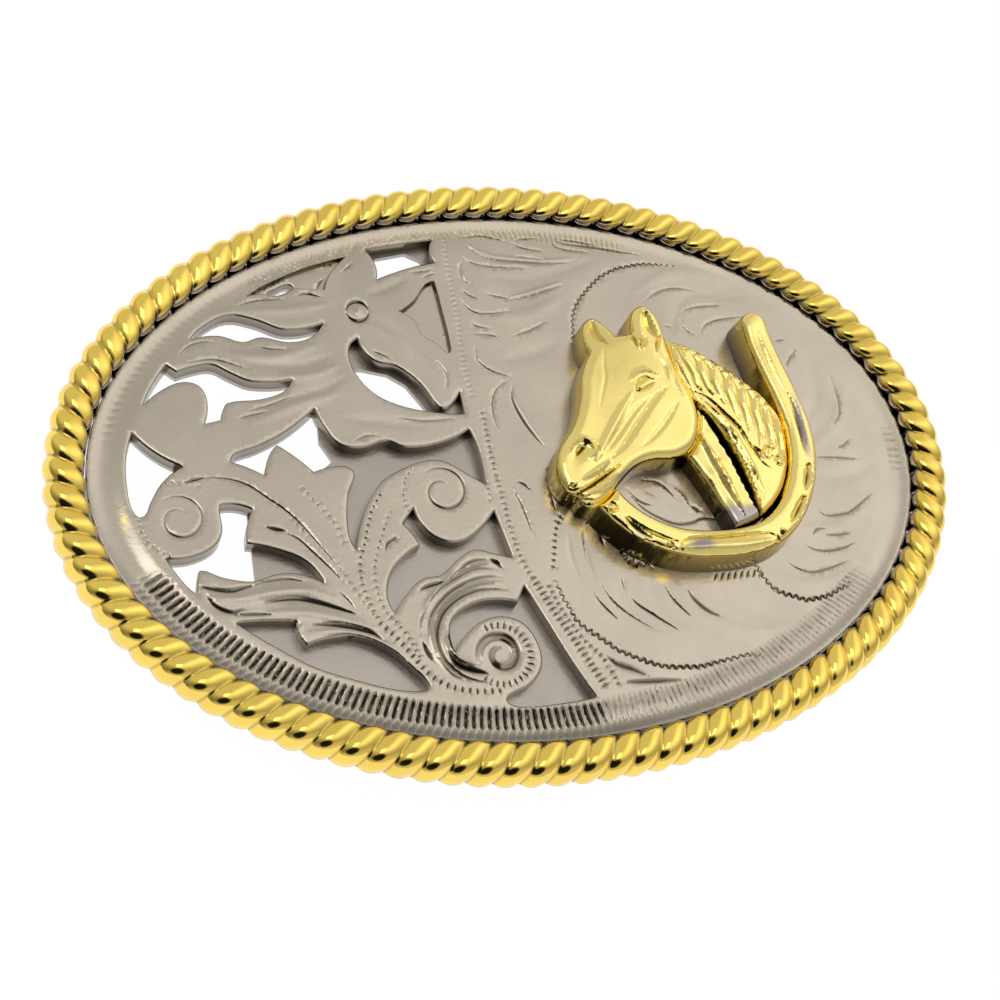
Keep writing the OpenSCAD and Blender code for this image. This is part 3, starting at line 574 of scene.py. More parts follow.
def oval_place(spot):
    """Distance in from the plate's oval edge, angle in degrees, and distance walked round it."""
    x, y = spot[:, 0] / plate_a, spot[:, 1] / plate_b
    reach = np.maximum(np.hypot(x, y), 1e-6)
    angle = np.arctan2(y, x) % (2 * np.pi)
    slope = np.hypot(x / plate_a, y / plate_b) / reach
    return (1 - reach) / slope, np.degrees(angle), np.interp(angle, oval_angle, oval_walk)


def ramp(value, low, high):
    """Smooth step from 0 at low to 1 at high."""
    t = np.clip((value - low) / (high - low), 0, 1)
    return t * t * (3 - 2 * t)


def border(spot):
    """Height of the border: a cove that rises to the rope from a sunk track, both deepest at the
    lower left, less a row of cosine flutes in each band. Also the painted shade: dark on the cove's
    slope at the lower left, and in the flutes, darkest at their bottoms."""
    inset, angle, walk = oval_place(spot)
    lower_left = (np.cos(np.radians(angle - 245)) / 2 + 0.5) ** 2
    cove = (0.22 + 0.2 * lower_left) * ramp(inset, 1.5, 0.0)
    track = (0.04 + 0.3 * lower_left) * ramp(inset, 3.9, 2.0)
    height = cove - track
    # Painted shade on the cove's slope at the lower left
    dark = 0.5 * ramp(inset, 1.6, 0.6) * ramp(lower_left, 0.5, 0.9)
    for near, far, first, last, pitch, lean, depth in tick_bands:
        turned = np.where(angle < first - 180, angle + 360, angle)
        inside = ramp(inset, near - 0.15, near + 0.25) * ramp(inset, far + 0.15, far - 0.35)
        inside = inside * ramp(turned, first, first + 4) * ramp(turned, last, last - 4)
        wave = np.cos(2 * np.pi * (walk + lean * inset) / pitch) / 2 + 0.5
        height = height - depth * inside * wave ** 4
        # Painted shade in each flute, darkest at its bottom
        dark = np.maximum(dark, min(0.85, 3.5 * depth) * inside * (0.35 + 0.65 * wave ** 5))
    return height, dark


def band_points():
    """Mesh points that follow the bands, eight to a flute."""
    found = []
    for near, far, first, last, pitch, lean, _ in tick_bands:
        walk = np.interp(np.radians([first, last]) % (2 * np.pi), oval_angle, oval_walk)
        length = (walk[1] - walk[0]) % oval_walk[-1]
        at = walk[0] + np.arange(0, length, pitch / 8)
        inset = np.linspace(near - 0.1, far + 0.1, round((far - near) / 0.36) + 2)
        at, inset = np.meshgrid(at, inset)
        at = (at - lean * inset) % oval_walk[-1]
        place, away = on_oval(plate_a, plate_b, np.interp(at, oval_walk, oval_angle))
        found.append((place - inset[..., None] * away).reshape(-1, 2))
    return np.vstack(found)


def backed(outline, metal_outline, beyond=0.03):
    """True for the edges that have metal on their outer side too, just beyond them."""
    spot, edge = outline
    return is_inside(spot[edge].mean(1) + beyond * right_of(outline), metal_outline)


def only(outline, chosen):
    """The outline's chosen edges, with the points they use."""
    used, edge = np.unique(outline[1][chosen], return_inverse=True)
    return outline[0][used], edge.reshape(-1, 2)


def looped(outline):
    """The outline with each open end joined to the nearest start, so that it closes."""
    spot, edge = outline
    leaving, arriving = (np.bincount(edge[:, k], minlength=len(spot)) for k in range(2))
    ends, starts = np.flatnonzero(arriving > leaving), np.flatnonzero(arriving < leaving)
    if not ends.size:
        return outline
    gap = np.linalg.norm(spot[ends, None] - spot[starts], axis=-1)
    return spot, np.vstack([edge, np.stack([ends, starts[gap.argmin(1)]], 1)])


# The whole casting's outline in plan, and the brink of its sunk pockets, drawn round the pocket
solid = outline_of("front_plate", face_z, step_z, pocket_z)
solid = only(solid, ~backed(solid, solid))
upper = outline_of("front_plate", face_z, step_z)
pocket = only(upper, backed(upper, solid))
pocket = (pocket[0], pocket[1][:, ::-1])
pocket_loop = looped(pocket)


def plate_height(spot, away):
    """Height of the plate's top: the face with a rounded lip at each opening, less the pockets,
    the engraving and the border. Also its painted shade: the engraving is painted darker the
    deeper it is, and thin painted shade lines run along the openings' edges and the pockets' brink."""
    lip = 0.16 * (1 - np.clip(away / 0.28, 0, 1)) ** 2
    brink = edge_distance(spot, pocket)
    sunk = 0.6 * np.where(is_inside(spot, pocket_loop), np.clip(brink / 0.16, 0, 1), 0)
    carving, cut = carved(spot, engraved)
    rim, dark = border(spot)
    # Painted shade in the engraved cuts
    dark = np.maximum(dark, 0.8 * ramp(cut, 0.05, 0.22))
    # Painted shade: thin dark lines at the openings' edges and at the pockets' brink
    painted_edge_shade = np.maximum(0.45 * (away < 0.03), 0.7 * (brink < 0.02))
    return face_z - lip - sunk + carving + rim, np.maximum(dark, painted_edge_shade)


def node_in(tree, kind, inputs, **settings):
    """A new shader node. Each of its inputs, by name or number, gets a value or the output that
    feeds it."""
    node = tree.nodes.new("ShaderNode" + kind)
    for name, value in settings.items():
        setattr(node, name, value)
    for name, value in inputs.items():
        if isinstance(value, bpy.types.NodeSocket):
            tree.links.new(value, node.inputs[name])
        else:
            node.inputs[name].default_value = value
    return node


def metal(name, under, over, roughness, grain=1.0):
    """A plated, polished metal: the under colour, and the over colour where the point attribute
    gilt is 1, both painted near black as shade where the attribute dark is 1. Cloudy noise shifts
    its tone and roughness, and fine noise is its polish marks."""
    material = bpy.data.materials.new(name)
    material.use_nodes = True
    tree = material.node_tree
    where = node_in(tree, "TexCoord", {}).outputs["Object"]

    def noise(scale, detail=3.0, squeeze=(1, 1, 1)):
        place = node_in(tree, "Mapping", {"Vector": where, "Scale": squeeze})
        texture = node_in(tree, "TexNoise", {"Vector": place.outputs["Vector"], "Scale": scale,
                                             "Detail": detail})
        return texture.outputs["Fac"]

    def toned(colour, factor):
        band = node_in(tree, "ValToRGB", {"Fac": factor})
        for element, place, gain in zip(band.color_ramp.elements, (0.3, 0.7), (0.93, 1.05)):
            element.position = place
            element.color = (*[min(1, gain * part) for part in colour], 1)
        return band.outputs["Color"]

    def mixed(attribute, low, high):
        share = node_in(tree, "Attribute", {}, attribute_name=attribute).outputs["Fac"]
        mix = node_in(tree, "Mix", {"Factor": share, "A": low, "B": high}, data_type="RGBA")
        return mix.outputs["Result"]

    cloud = noise(160)
    plating = mixed("gilt", toned(under, cloud), toned(over, cloud))
    wear = node_in(tree, "MapRange", {"Value": noise(420, 4.0), "To Min": 0.8 * roughness,
                                      "To Max": 1.3 * roughness})
    polish = node_in(tree, "Bump", {"Height": noise(1500, 4.0, (1, 1.6, 1)), "Distance": 0.0001,
                                    "Strength": 0.12 * grain})
    shader = tree.nodes["Principled BSDF"]
    shader.inputs["Metallic"].default_value = 1.0
    # Painted shade: the attribute dark mixes the base colour towards near black
    tree.links.new(mixed("dark", plating, (0.012, 0.01, 0.008, 1)), shader.inputs["Base Color"])
    tree.links.new(wear.outputs["Result"], shader.inputs["Roughness"])
    tree.links.new(polish.outputs["Normal"], shader.inputs["Normal"])
    return material


nickel_colour = (0.515, 0.45, 0.357)
gold_colour = (0.97, 0.77, 0.26)
nickel = metal("warm_nickel", nickel_colour, gold_colour, roughness=0.2)


def plate_gilt(points):
    """Where the gold bled on to the nickel: flecks beside the left opening and under the shoe, and
    a faint stain along the top of the border."""
    x, y = points[:, 0], points[:, 1]
    fleck = np.exp(-((x + 40.2) / 0.25) ** 2 - ((y + 3.7) / 0.9) ** 2)
    left = (x < -38.8) * (y > -2.5) * (y < 5.4) * (points[:, 2] < face_z - 0.5) * (x > -40.2)
    spot = np.exp(-((x - 12.3) / 0.7) ** 4 - ((y + 13.4) / 0.45) ** 4)
    inset, angle, _ = oval_place(points[:, :2])
    stain = (0.1 * ramp(inset, 0.8, 1.1) * ramp(inset, 2.8, 2.4)
             * ramp(angle, 60, 70) * ramp(angle, 130, 110))
    return fleck + left + 0.8 * spot + stain


plate_points = np.vstack([rows_inside(refined(solid, 0.3), (0.06, 0.14, 0.3)),
                          rows_inside(refined(pocket, 0.3), (0.17, -0.1)),
                          beside(engraved), band_points(), grid_over(solid, 0.5)])
front_plate = relief("engraved_plate", solid, plate_points, plate_height, plate_gilt, plate_low[2],
                     nickel, ties=pocket, painted_wall_shade=0.72)
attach(front_plate, "buckle")
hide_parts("front_plate")


# ---------------------------------------------------------------------------------------------
# Backing plate: thin nickel-plated sheet behind the casting, with windows stamped in it. Its flat
# shape is the CAD one, and the satin finish is a little duller than the face.
duller_colour = (0.42, 0.37, 0.32)
satin = metal("satin_nickel", duller_colour, gold_colour, roughness=0.3, grain=1.5)


def finish(node, material):
    """The material put on a CAD node in place of its own."""
    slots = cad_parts[node].data.materials
    slots.clear()
    slots.append(material)


finish("backing_plate", satin)


# ---------------------------------------------------------------------------------------------
# Rope border: a cast ring like a laid rope, gilt over the nickel that still shows on its inner
# wall. It is soldered round the edge of both plates.
rope_low, rope_high = (np.array(corner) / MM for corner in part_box("rope_border"))
rope_half = 2.0
rope_a, rope_b = rope_high[0] - rope_half, rope_high[1] - rope_half
strand_count, strand_phase = 96, 15.34
per_strand, dome_steps = 14, 22
notch_depth = 0.5


def rope_surface():
    """Points of the rope, and how deep in a notch each is: a domed section carried round the oval
    and pressed in where two strands meet. A strand runs forward by its own width from the inner
    edge to the outer. The section goes up the inner wall, over the dome and down to the foot."""
    turn = np.linspace(0, 2 * np.pi, 2881)
    walk = walked_round(rope_a, rope_b, turn)
    share = np.arange(strand_count * per_strand) / (strand_count * per_strand)
    place, away = on_oval(rope_a, rope_b, -np.interp(share * walk[-1], walk, turn))
    dome = np.linspace(0, np.pi, dome_steps)
    shoulder = face_z + 0.75 - 1.7 * ramp(dome, 0.6, np.pi - 0.2)
    crown = rope_high[2] - shoulder
    out = np.concatenate([[-0.97, -0.985, -0.99], -np.cos(dome), [0.8, 0.55]]) * rope_half
    up = np.concatenate([[rope_low[2], face_z - 0.6, face_z + 0.2],
                         shoulder + crown * np.sin(dome) ** 0.8,
                         [rope_low[2] + 0.6, rope_low[2]]])
    lay = np.concatenate([[0, 0, 0], dome / np.pi, [1, 1]])
    inward = np.concatenate([[0.1, 0.4, 0.8], np.ones(dome_steps), [0.9, 0.6]])
    downward = np.concatenate([[0, 0, 0], np.sin(dome) ** 0.7, [0, 0]])
    phase = share[:, None] * strand_count - strand_phase - lay
    notch = 1 - abs(np.sin(np.pi * phase)) ** 0.75
    press = notch_depth * notch * inward
    side = np.clip(out / rope_half, -1, 1)
    out = out - press * side * 0.9
    up = up - press * downward
    flat = place[:, None] + out[..., None] * away[:, None]
    return np.concatenate([flat, up[..., None]], -1), notch


def closed_faces(rows, columns):
    """Quads of a grid whose rows and columns both close on themselves."""
    number = np.arange(rows * columns).reshape(rows, columns)
    ahead, beside_it = np.roll(number, -1, 0), np.roll(number, -1, 1)
    both = np.roll(ahead, -1, 1)
    return np.stack([number, ahead, both, beside_it], -1).reshape(-1, 4)


rope_points, rope_notch = rope_surface()
wall_share = ramp(rope_points[..., 2], face_z + 0.75, face_z + 1.25)
section = np.arange(rope_points.shape[1])
crown_row = 12
rope_gilt = np.where(section > crown_row, 1.0, wall_share)
inner_side = ramp(section, 10, 6)
# Painted shade in the notches between the strands: near black low on the inner wall, fainter over
# the rest of each notch
rope_painted_shade = 0.7 * ramp(rope_notch, 0.5, 0.75) * inner_side + 0.45 * ramp(rope_notch, 0.6, 0.95)
rope_faces = closed_faces(*rope_points.shape[:2])
pale_nickel, deep_gold = (0.7, 0.64, 0.56), (0.98, 0.69, 0.14)
gold_rope = metal("gilt_rope", pale_nickel, deep_gold, roughness=0.1, grain=0.8)
rope = piece_of("rope_ring", rope_points.reshape(-1, 3), rope_faces, gold_rope, sharp=60,
                gilt=rope_gilt.ravel(), dark=rope_painted_shade.ravel())
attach(rope, "buckle")
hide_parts("rope_border")


# ---------------------------------------------------------------------------------------------
# Horse's head: a gilt casting in high relief, riveted through the face. Its side is a broad cheek
# and a long nose, with modelled eye, nostril, mouth and ears.
def blended(spot, knots):
    """Height between knots (x, y, height, reach): their mean, weighted by a bell curve of the
    distance to each."""
    x, y, height, reach = np.array(knots, float).T
    gap2 = (spot[:, :1] - x) ** 2 + (spot[:, 1:2] - y) ** 2
    weight = np.exp(-gap2 / (2 * reach ** 2)) + 1e-9
    return (weight * height).sum(1) / weight.sum(1)


def swelling(spot, x, y, long, short, tilt):
    """A bell-shaped bump with its long axis turned by the tilt, 1 at its middle."""
    c, s = math.cos(math.radians(tilt)), math.sin(math.radians(tilt))
    dx, dy = spot[:, 0] - x, spot[:, 1] - y
    return np.exp(-((dx * c + dy * s) / long) ** 2 - ((dy * c - dx * s) / short) ** 2)


def rounded(away, radius):
    """Drop of a quarter-round edge: the radius at the outline, nothing one radius in."""
    inward = np.clip(1 - away / radius, 0, 1)
    return radius * (1 - np.sqrt(1 - inward ** 2))


head_knots = [(13.6, 3.2, 4.5, 2.6), (16.6, 2.4, 4.2, 1.8), (12, 8, 4.3, 2), (9.2, 9.6, 3.9, 1.8),
              (8.2, 4.6, 4, 1.8), (10.6, 2, 4.1, 2), (6.8, 1.6, 3.9, 1.6), (4.6, -0.6, 3.7, 1.6),
              (3.6, -3, 3.3, 1.4), (6, -3.4, 3.7, 1.4), (5.6, -5.9, 3.1, 1), (9, -1.4, 4, 1.6),
              (12.5, -0.8, 4.2, 1.6), (16, 7, 4.3, 1.8), (15, 10.8, 4.2, 1.6), (11.8, 12, 4, 1.6),
              (9.4, 14, 3.2, 1.5), (14.8, 14.6, 4.3, 1.5)]
ear_lines = [
    (1.3, 0.6, [(9.3, 14.6), (9.2, 13.4), (9.6, 12.2), (10.2, 11.5)]),
    (1.3, 0.65, [(15, 15.2), (15, 13.8), (15.3, 12.7), (15.6, 12)]),
]
head_lines = [
    (0.5, 0.3, [(16.2, 12.2), (15.5, 11.2), (15.2, 10.2)]),
    (0.5, 0.16, [(12.4, 12.7), (12.9, 11.8), (13.2, 10.9)]),
    (0.5, 0.16, [(13.4, 12.5), (13.6, 11.6), (13.6, 10.8)]),
    (0.5, 0.16, [(14.2, 12.3), (14.2, 11.5), (14, 10.8)]),
    (0.6, -0.2, [(12.9, 12.6), (13.3, 11.6), (13.4, 10.6)]),
    (0.6, -0.2, [(14, 12.2), (13.9, 11.3), (13.7, 10.6)]),
    (0.35, 0.2, [(11.9, 6), (12.5, 6.8), (13.3, 7.2), (14.3, 6.8)]),
    (0.35, 0.16, [(12, 5.8), (12.8, 5.7), (13.6, 6.1), (14.2, 6.6)]),
    (0.5, 0.4, [(12, 5.6), (12.4, 5.9)]),
    (0.8, -0.22, [(11.6, 6.9), (12.4, 7.7), (13.5, 8), (14.8, 7.3)]),
    (0.8, 0.14, [(16.1, 10), (16.5, 8.4), (16.5, 6.6), (16.9, 5)]),
    (0.9, 0.18, [(15.1, 9.9), (15.7, 8.4), (15.7, 6.9)]),
    (1.1, 0.2, [(15.4, 6), (13.6, 4.4), (11.6, 2.2), (9.4, -0.4), (8, -1.6)]),
    (1.1, 0.15, [(13.4, 5), (11.4, 3.4), (9.4, 1.2), (7.6, -0.8)]),
    (1.2, -0.22, [(11.4, 5.4), (9.6, 3), (7.6, 0.2), (6.4, -1.6)]),
    (0.9, 0.12, [(16.4, 4.4), (14.8, 2.4), (13, 0.6), (11.4, -0.6)]),
    (0.5, 0.05, [(9.6, 10.8), (9.2, 9), (9, 7.4), (8.4, 5.8), (7.8, 4)]),
    (1.0, 0.5, [(4.4, -1.1), (4.9, -0.55), (5.5, 0)]),
    (0.8, -0.3, [(3.8, -0.6), (4.3, 0.3), (5.3, 0.7), (6.1, 0.1), (6.3, -0.9), (5.6, -1.5)]),
    (0.6, 0.2, [(6.6, 0.2), (6.8, -1), (6, -2)]),
    (0.6, 0.5, [(3.1, -5.2), (4, -4.9), (5, -4.5), (6.5, -3.7), (8.7, -2.4)]),
    (0.9, -0.25, [(4.6, -3.7), (6, -3), (7.8, -1.9)]),
    (0.8, -0.25, [(4.8, -5.3), (6.4, -4.7), (8.3, -3.4)]),
    (0.5, 0.35, [(3.2, -3.9), (3.6, -4.2), (4, -4)]),
    (0.5, 0.25, [(3.8, -5.9), (4.6, -5.9), (5.8, -6.2)]),
]
rivet_ring = outline_of("figure_rivets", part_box("figure_rivets")[1].z / MM)


def foot_of(node):
    """Outline of a relief piece where it stands on the face, without its rivet holes."""
    spot, edge = outline_of(node, face_z)
    return spot, edge[edge_distance(spot[edge].mean(1), rivet_ring) > 0.1]


def head_height(spot, away):
    """Height of the head: the blended knots, the swellings of eye, muzzle and chin, and the
    carving, with a round edge all round. The carving is painted darker the deeper it is, as shade."""
    eye = 0.22 * swelling(spot, 13.1, 6.4, 0.8, 0.42, 25)
    muzzle = 0.25 * swelling(spot, 5.9, -1.6, 1.6, 0.9, 35)
    chin = 0.2 * swelling(spot, 5.4, -5.8, 1, 0.6, 10)
    carving, cut = carved(spot, head_lines)
    form = blended(spot, head_knots) + (eye + muzzle) + chin + carved(spot, ear_lines)[0]
    return face_z + form + carving - rounded(away, 1.1), 0.9 * ramp(cut, 0.2, 0.45)


def head_gilt(points):
    """Gilt all over but for the underside of the jaw, where the nickel below shows. Towards the
    foot of the walls the gilt share also falls by half, a painted shade in the duller colour.
    """
    x, y, z = points.T
    under = ramp(y, 0.4, -0.4) * ramp(x, 7.6, 8.6) * ramp(z, face_z + 3, face_z + 2.2)
    jaw = np.exp(-((x - 9.6) / 1.5) ** 4 - ((y + 3.2 - 0.55 * (x - 9.6)) / 0.45) ** 4)
    # The last term is painted shade: the walls turn to the duller colour towards their foot
    return 1 - under - jaw - 0.5 * ramp(z, face_z + 2, face_z)


gold = metal("gilt_figure", duller_colour, gold_colour, roughness=0.11)
figure_step, figure_cell = 0.25, 0.09
edge_rows = (0.03, 0.12, 0.26, 0.45, 0.7, 1.0)


def figure_points(outline, rows, strokes, spacing):
    """Mesh points of a figure: rows along its outline, rows along its strokes, and a grid."""
    return np.vstack([rows_inside(refined(outline, figure_step), rows), beside(strokes),
                      grid_over(outline, spacing)])


head_outline = foot_of("horse_head")
head_points = figure_points(head_outline, edge_rows, ear_lines + head_lines, 0.24)
head = relief("horse_head_relief", head_outline, head_points, head_height, head_gilt, face_z, gold,
              figure_step, figure_cell, draft=0.1)
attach(head, "buckle")
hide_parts("horse_head")


# ---------------------------------------------------------------------------------------------
# Neck and mane: a gilt casting behind the head. A smooth band and a deep throat groove lie below
# wavy locks that are cut with a graver.
neck_knots = [(16, 11.4, 3.5, 1.2), (18.6, 9.6, 3.9, 1.6), (21.4, 7.6, 3.9, 1.6),
              (24.6, 4.8, 3.7, 1.6), (26.4, 1.4, 3.5, 1.4), (26.2, -2.4, 3.3, 1.4),
              (24.6, -6, 3.1, 1.4), (22.4, -8, 3.0, 1.2), (19.6, 5.4, 3.7, 1.2),
              (21.4, 2.2, 3.6, 1.2), (23.2, -1.6, 3.4, 1.2), (19.8, -0.6, 3.2, 1.0),
              (20.9, -4.4, 3.0, 1.0), (21.6, -7.8, 2.8, 1.0), (18.2, -1.6, 2.7, 0.9),
              (19.6, -5.6, 2.6, 0.9)]
locks = [
    [(17.7, 11.3), (18.1, 9.4), (18.7, 7.6), (18.9, 6.4), (19.6, 5.4)],
    [(18.9, 10.8), (19.5, 9.2), (19.6, 7.6), (20, 6), (20.8, 4.8)],
    [(20.2, 9.9), (20.8, 8.3), (20.8, 6.8), (21.2, 5), (21.9, 3.6)],
    [(21.6, 8.9), (22.2, 7.2), (22.1, 5.6), (22.5, 3.6), (22.9, 2.2)],
    [(22.9, 7.9), (23.5, 6), (23.4, 4.2), (23.7, 2.2), (23.8, 0.4)],
    [(24.2, 6.8), (24.8, 4.8), (24.7, 3), (24.9, 1), (24.6, -0.8)],
    [(25.4, 5.7), (25.9, 3.8), (25.8, 1.8), (25.9, 0), (25.3, -2)],
    [(26.5, 4.3), (26.9, 2.4), (26.8, 0.4), (26.8, -1.4), (26.1, -2.8)],
]
neck_lines = [(0.45, 0.18, lock) for lock in locks]
neck_lines += [(0.8, -0.16, (np.array(lock) + [0.55, -0.1]).tolist()) for lock in locks]
neck_lines += [
    (1.3, 1.5, [(18.2, 5.2), (18.6, 4.4), (19.6, 2.8), (21, 0), (22.2, -3.5), (23.1, -7.4),
                (23.4, -8.8)]),
    (0.5, 0.3, [(18.7, 5.6), (20, 4.8), (21.5, 3), (22.9, 1), (23.7, -1), (24.6, -2.7),
                (25.3, -3.3)]),
    (0.9, -0.25, [(19, 4.9), (20.6, 3.2), (22, 0.8), (23.2, -2.6), (24.2, -6.6)]),
    (0.5, 0.2, [(17.2, 9.8), (17.8, 7.6), (18.4, 6)]),
    (0.4, 0.25, ring(25.5, -1.7, 0.8, 30, 330, 16, -0.5)),
    (0.4, 0.25, ring(26.6, -2.6, 0.55, 90, 380, 14, -0.4)),
    (0.6, 0.4, [(23.9, -0.8), (24.4, -1.4), (24.7, -2.2)]),
    (0.6, 0.3, [(26.4, -1.9), (26.6, -2.3)]),
    (0.5, 0.25, [(22.8, 1.4), (23, 1)]),
    (1.3, -0.45, [(18.4, 1.2), (19.4, -1.8), (20.5, -5), (21.4, -8.3)]),
    (0.5, 0.2, [(19.3, -1), (19.8, -1.6), (19.7, -2.4)]),
    (0.4, 0.2, [(20.6, -4.6), (20.9, -5.2)]),
]
neck_lines += ticks([(18.2, 11.6), (20.6, 10.1), (23.2, 8.1), (25.4, 6.2), (27, 4.2)],
                    1.15, 1.2, 0.36, 0.2, shift=-0.5, lean=0.3)


def neck_height(spot, away):
    """Height of the neck: the blended knots and the carved locks, with a round edge all round. The
    carving and the lower edge are painted dark, as shade."""
    carving, cut = carved(spot, neck_lines)
    # Painted shade in the deep cuts and along the lower part of the outline
    dark = np.maximum(0.97 * ramp(cut, 0.2, 0.5), 0.8 * (away < 0.02) * (spot[:, 1] < 0.5))
    return face_z + blended(spot, neck_knots) + carving - rounded(away, 0.8), dark


def neck_gilt(points):
    """Gilt, but for the low end of the throat ridge, where the nickel shows."""
    x, y, _ = points.T
    return 1 - ramp(y, -6.6, -7.6) * ramp(x, 23.4, 22.8)


neck_outline = foot_of("horse_neck")
neck_points = figure_points(neck_outline, edge_rows[:5], neck_lines, 0.26)
neck = relief("neck_and_mane", neck_outline, neck_points, neck_height, neck_gilt, face_z, gold,
              figure_step, figure_cell, draft=0.08, painted_wall_shade=0.95)
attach(neck, "buckle")
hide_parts("horse_neck")


# ---------------------------------------------------------------------------------------------
# Horseshoe: a gilt casting round the neck, with a fullered groove in lengths, square nail holes,
# a raised toe and a knob at the heel.
shoe_lines = [
    (1.3, 0.45, [(8.1, -8.2), (9.2, -9.4), (10.5, -10.6)]),
    (0.5, 0.35, [(8.3, -8), (10, -9.6), (11.6, -10.5), (13.1, -11.1)]),
    (0.8, 0.5, [(11.9, -11.3), (12.6, -11.6)]),
    (0.5, 0.3, ring(7, -7, 0.42, 0, 180, 12)),
    (0.5, 0.3, ring(7, -7, 0.42, 180, 360, 12)),
    (0.5, 0.3, [(13.3, -11.9), (13.5, -11.2), (14.5, -10.85), (18, -10.9), (23, -10.8),
                (23.9, -11.3)]),
    (1.6, -0.3, [(13.6, -11.8), (16, -11.8), (20, -11.9), (23.8, -11.6)]),
    (0.4, 0.3, [(23.9, -11.1), (24.1, -12.2)]),
    (0.9, 0.6, [(24.4, -10.9), (25, -10.6)]),
    (1.1, 0.45, [(25.8, -9.7), (26.7, -8.8), (27.4, -7.9), (28.1, -6.8)]),
    (0.7, 0.4, [(27.6, -7.5), (28.1, -6.9)]),
    (1.1, 0.45, [(28.3, -6.2), (28.9, -5), (29.4, -3.4)]),
    (0.7, 0.4, [(29.2, -4), (29.4, -3.3)]),
    (0.8, 0.4, [(29.1, 4.8), (29.4, 2.6), (29.5, 0.2), (29.3, -2)]),
    (0.8, -0.2, [(27.4, 12.6), (27.7, 10.2), (28.3, 7), (28.9, 4.6)]),
]


def shoe_height(spot, away):
    """Height of the shoe: level, a little higher at the knob, with a round edge all round. The
    carving is painted darker the deeper it is, as shade.
    """
    knob = 0.25 * swelling(spot, 27.2, 13.4, 1.4, 1.4, 0)
    carving, cut = carved(spot, shoe_lines)
    return face_z + 3.95 + knob + carving - rounded(away, 0.75), 0.9 * ramp(cut, 0.22, 0.5)


def shoe_gilt(points):
    """Gilt, but for the bevel inside the left branch, a patch at the toe, the groove of the right
    branch and the foot of the wall inside the heel, where the nickel shows. Towards the foot of
    all its walls the gilt share also falls a little, a painted shade in the duller colour."""
    x, y, z = points.T
    bevel = (ramp(z, face_z + 3.75, face_z + 3.5) * ramp(x, 20.5, 19) * ramp(y, -10.6, -10)
             * ramp(x, 8, 9))
    toe = np.exp(-((x - 15.6) / 1.3) ** 4 - ((y + 11.5) / 0.6) ** 4)
    strip = np.exp(-((x - 29.75) / 0.35) ** 4 - ((y - 1) / 3.6) ** 4)
    heel = ramp(z, face_z + 2.9, face_z + 2) * ramp(y, 6, 7) * ramp(x, 27.4, 27)
    # The last term is painted shade: the walls turn partly to the duller colour towards their foot
    return 1 - bevel - toe - strip - heel - 0.4 * ramp(z, face_z + 2, face_z)


shoe_outline = foot_of("horseshoe")
shoe_points = figure_points(shoe_outline, edge_rows[:5], shoe_lines, 0.26)
shoe = relief("horseshoe_relief", shoe_outline, shoe_points, shoe_height, shoe_gilt, face_z, gold,
              figure_step, figure_cell, draft=0.3)
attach(shoe, "buckle")
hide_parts("horseshoe")


# ---------------------------------------------------------------------------------------------
# Back fittings: the rivets of the figure, two cast ears, the bail bent from round wire that swings
# in them, and the hook in its base. Their CAD shapes are kept, in tumbled nickel and bright wire.
tumbled = metal("tumbled_nickel", (0.45, 0.42, 0.39), gold_colour, roughness=0.34, grain=2.5)
wire = metal("nickel_wire", (0.5, 0.47, 0.44), gold_colour, roughness=0.22)
for node in ("figure_rivets", "bail_ear_upper", "bail_ear_lower", "hook_base"):
    finish(node, tumbled)
for node in ("bail", "hook"):
    finish(node, wire)


# ---------------------------------------------------------------------------------------------
# Stage: a plain white floor and a soft white surround that falls to dark low down in front, which
# is what the polished metal mirrors.
def stage_floor():
    """A flat square of floor round the buckle, in an even white that takes no shadows."""
    reach = 1500
    corners = reach * np.array([[-1, -1, 0], [1, -1, 0], [1, 1, 0], [-1, 1, 0]], float)
    paint = bpy.data.materials.new("white_floor")
    paint.use_nodes = True
    shader = paint.node_tree.nodes["Principled BSDF"]
    shader.inputs["Base Color"].default_value = (0.05, 0.05, 0.05, 1)
    shader.inputs["Roughness"].default_value = 0.9
    shader.inputs["Specular IOR Level"].default_value = 0.0
    shader.inputs["Emission Color"].default_value = (0.98, 0.98, 1, 1)
    shader.inputs["Emission Strength"].default_value = 1.0
    piece_of("floor", corners, [(0, 1, 2, 3)], paint)


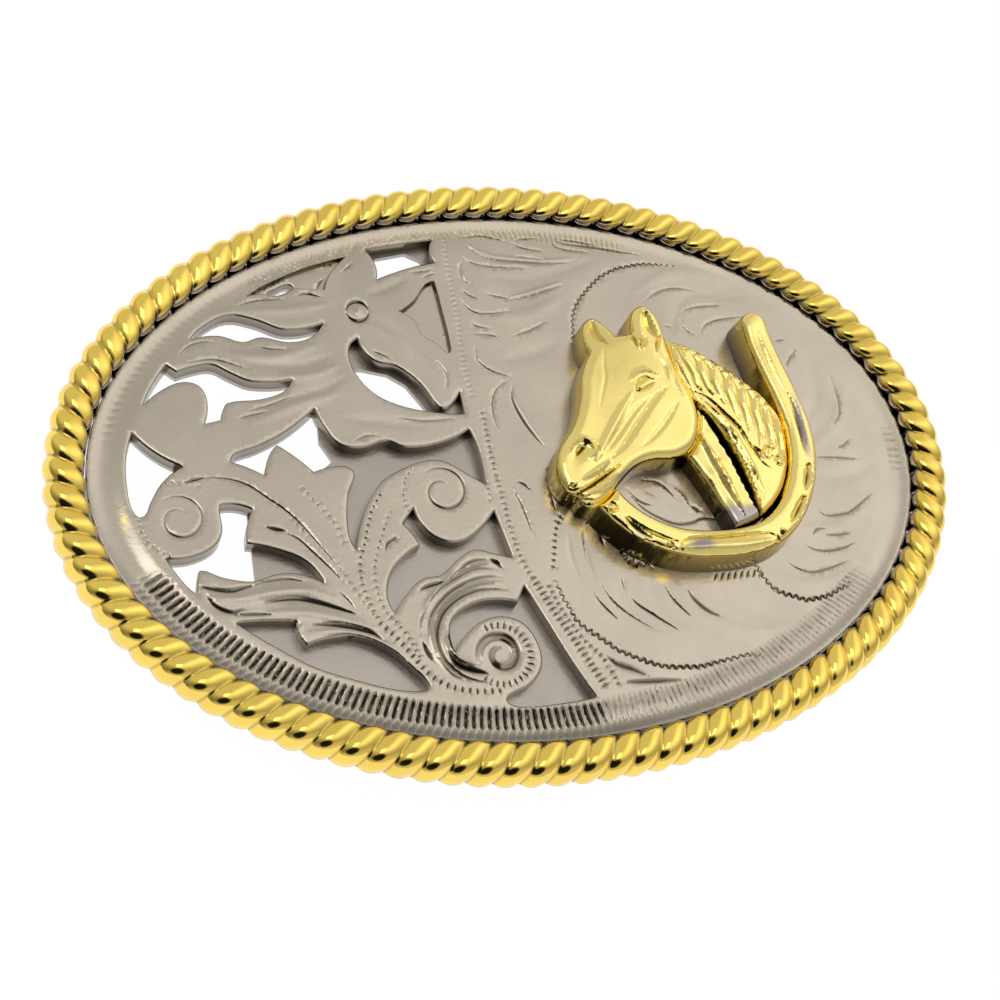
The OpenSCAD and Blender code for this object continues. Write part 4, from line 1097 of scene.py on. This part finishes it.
def surround():
    """World light by direction: bright overhead and behind, dimmer to the front, and stronger to
    the right than to the left. Its level goes by the direction's share towards the back plus most
    of its height. A dark round patch above the front left edge blackens the steep slopes that
    mirror it."""
    world = bpy.data.worlds.new("studio")
    bpy.context.scene.world = world
    world.use_nodes = True
    tree = world.node_tree
    direction = node_in(tree, "TexCoord", {}).outputs["Generated"]
    share = node_in(tree, "SeparateXYZ", {"Vector": direction}).outputs

    lift = node_in(tree, "Math", {0: share["Z"], 1: 0.9, 2: share["Y"]}, operation="MULTIPLY_ADD")
    scaled = node_in(tree, "MapRange", {"Value": lift.outputs["Value"],
                                        "From Min": -1.0, "From Max": 1.4})
    band = node_in(tree, "ValToRGB", {"Fac": scaled.outputs["Result"]})
    stops = [(0.0, 0.5), (0.3, 0.42), (0.45, 0.3), (0.56, 0.38), (0.71, 0.64), (0.81, 0.93),
             (0.86, 1.0), (1.0, 0.97)]
    elements = band.color_ramp.elements
    for place, _ in stops[1:-1]:
        elements.new(place)
    for element, (place, level) in zip(elements, stops):
        element.position = place
        element.color = (level, level, level, 1)

    slant = node_in(tree, "Math", {0: share["Y"], 1: -1.3, 2: share["X"]}, operation="MULTIPLY_ADD")
    sideways = node_in(tree, "MapRange", {"Value": slant.outputs["Value"], "From Min": -0.594,
                                          "From Max": 0.184, "To Min": 0.7, "To Max": 1.4})
    toward = node_in(tree, "VectorMath", {0: direction, 1: (-0.45, -0.6, 0.66)},
                     operation="DOT_PRODUCT")
    patch = node_in(tree, "MapRange", {"Value": toward.outputs["Value"], "From Min": 0.82,
                                       "From Max": 0.93, "To Min": 1.0, "To Max": 0.02},
                    interpolation_type="SMOOTHSTEP")
    strength = node_in(tree, "Math", {0: sideways.outputs["Result"], 1: patch.outputs["Result"]},
                       operation="MULTIPLY")
    background = tree.nodes["Background"]
    tree.links.new(band.outputs["Color"], background.inputs["Color"])
    tree.links.new(strength.outputs["Value"], background.inputs["Strength"])


def softbox(name, place, size, watts):
    """A square soft light that faces the buckle."""
    light = bpy.data.lights.new(name, "AREA")
    light.shape = "SQUARE"
    light.size = size
    light.energy = watts
    lamp = bpy.data.objects.new(name, light)
    lamp.location = place
    lamp.rotation_euler = (-Vector(place)).to_track_quat("-Z", "Y").to_euler()
    bpy.context.scene.collection.objects.link(lamp)


stage_floor()
surround()
softbox("top_light", (-0.25, 0.1, 0.75), size=0.3, watts=0.4)
bpy.context.scene.view_settings.view_transform = "Standard"
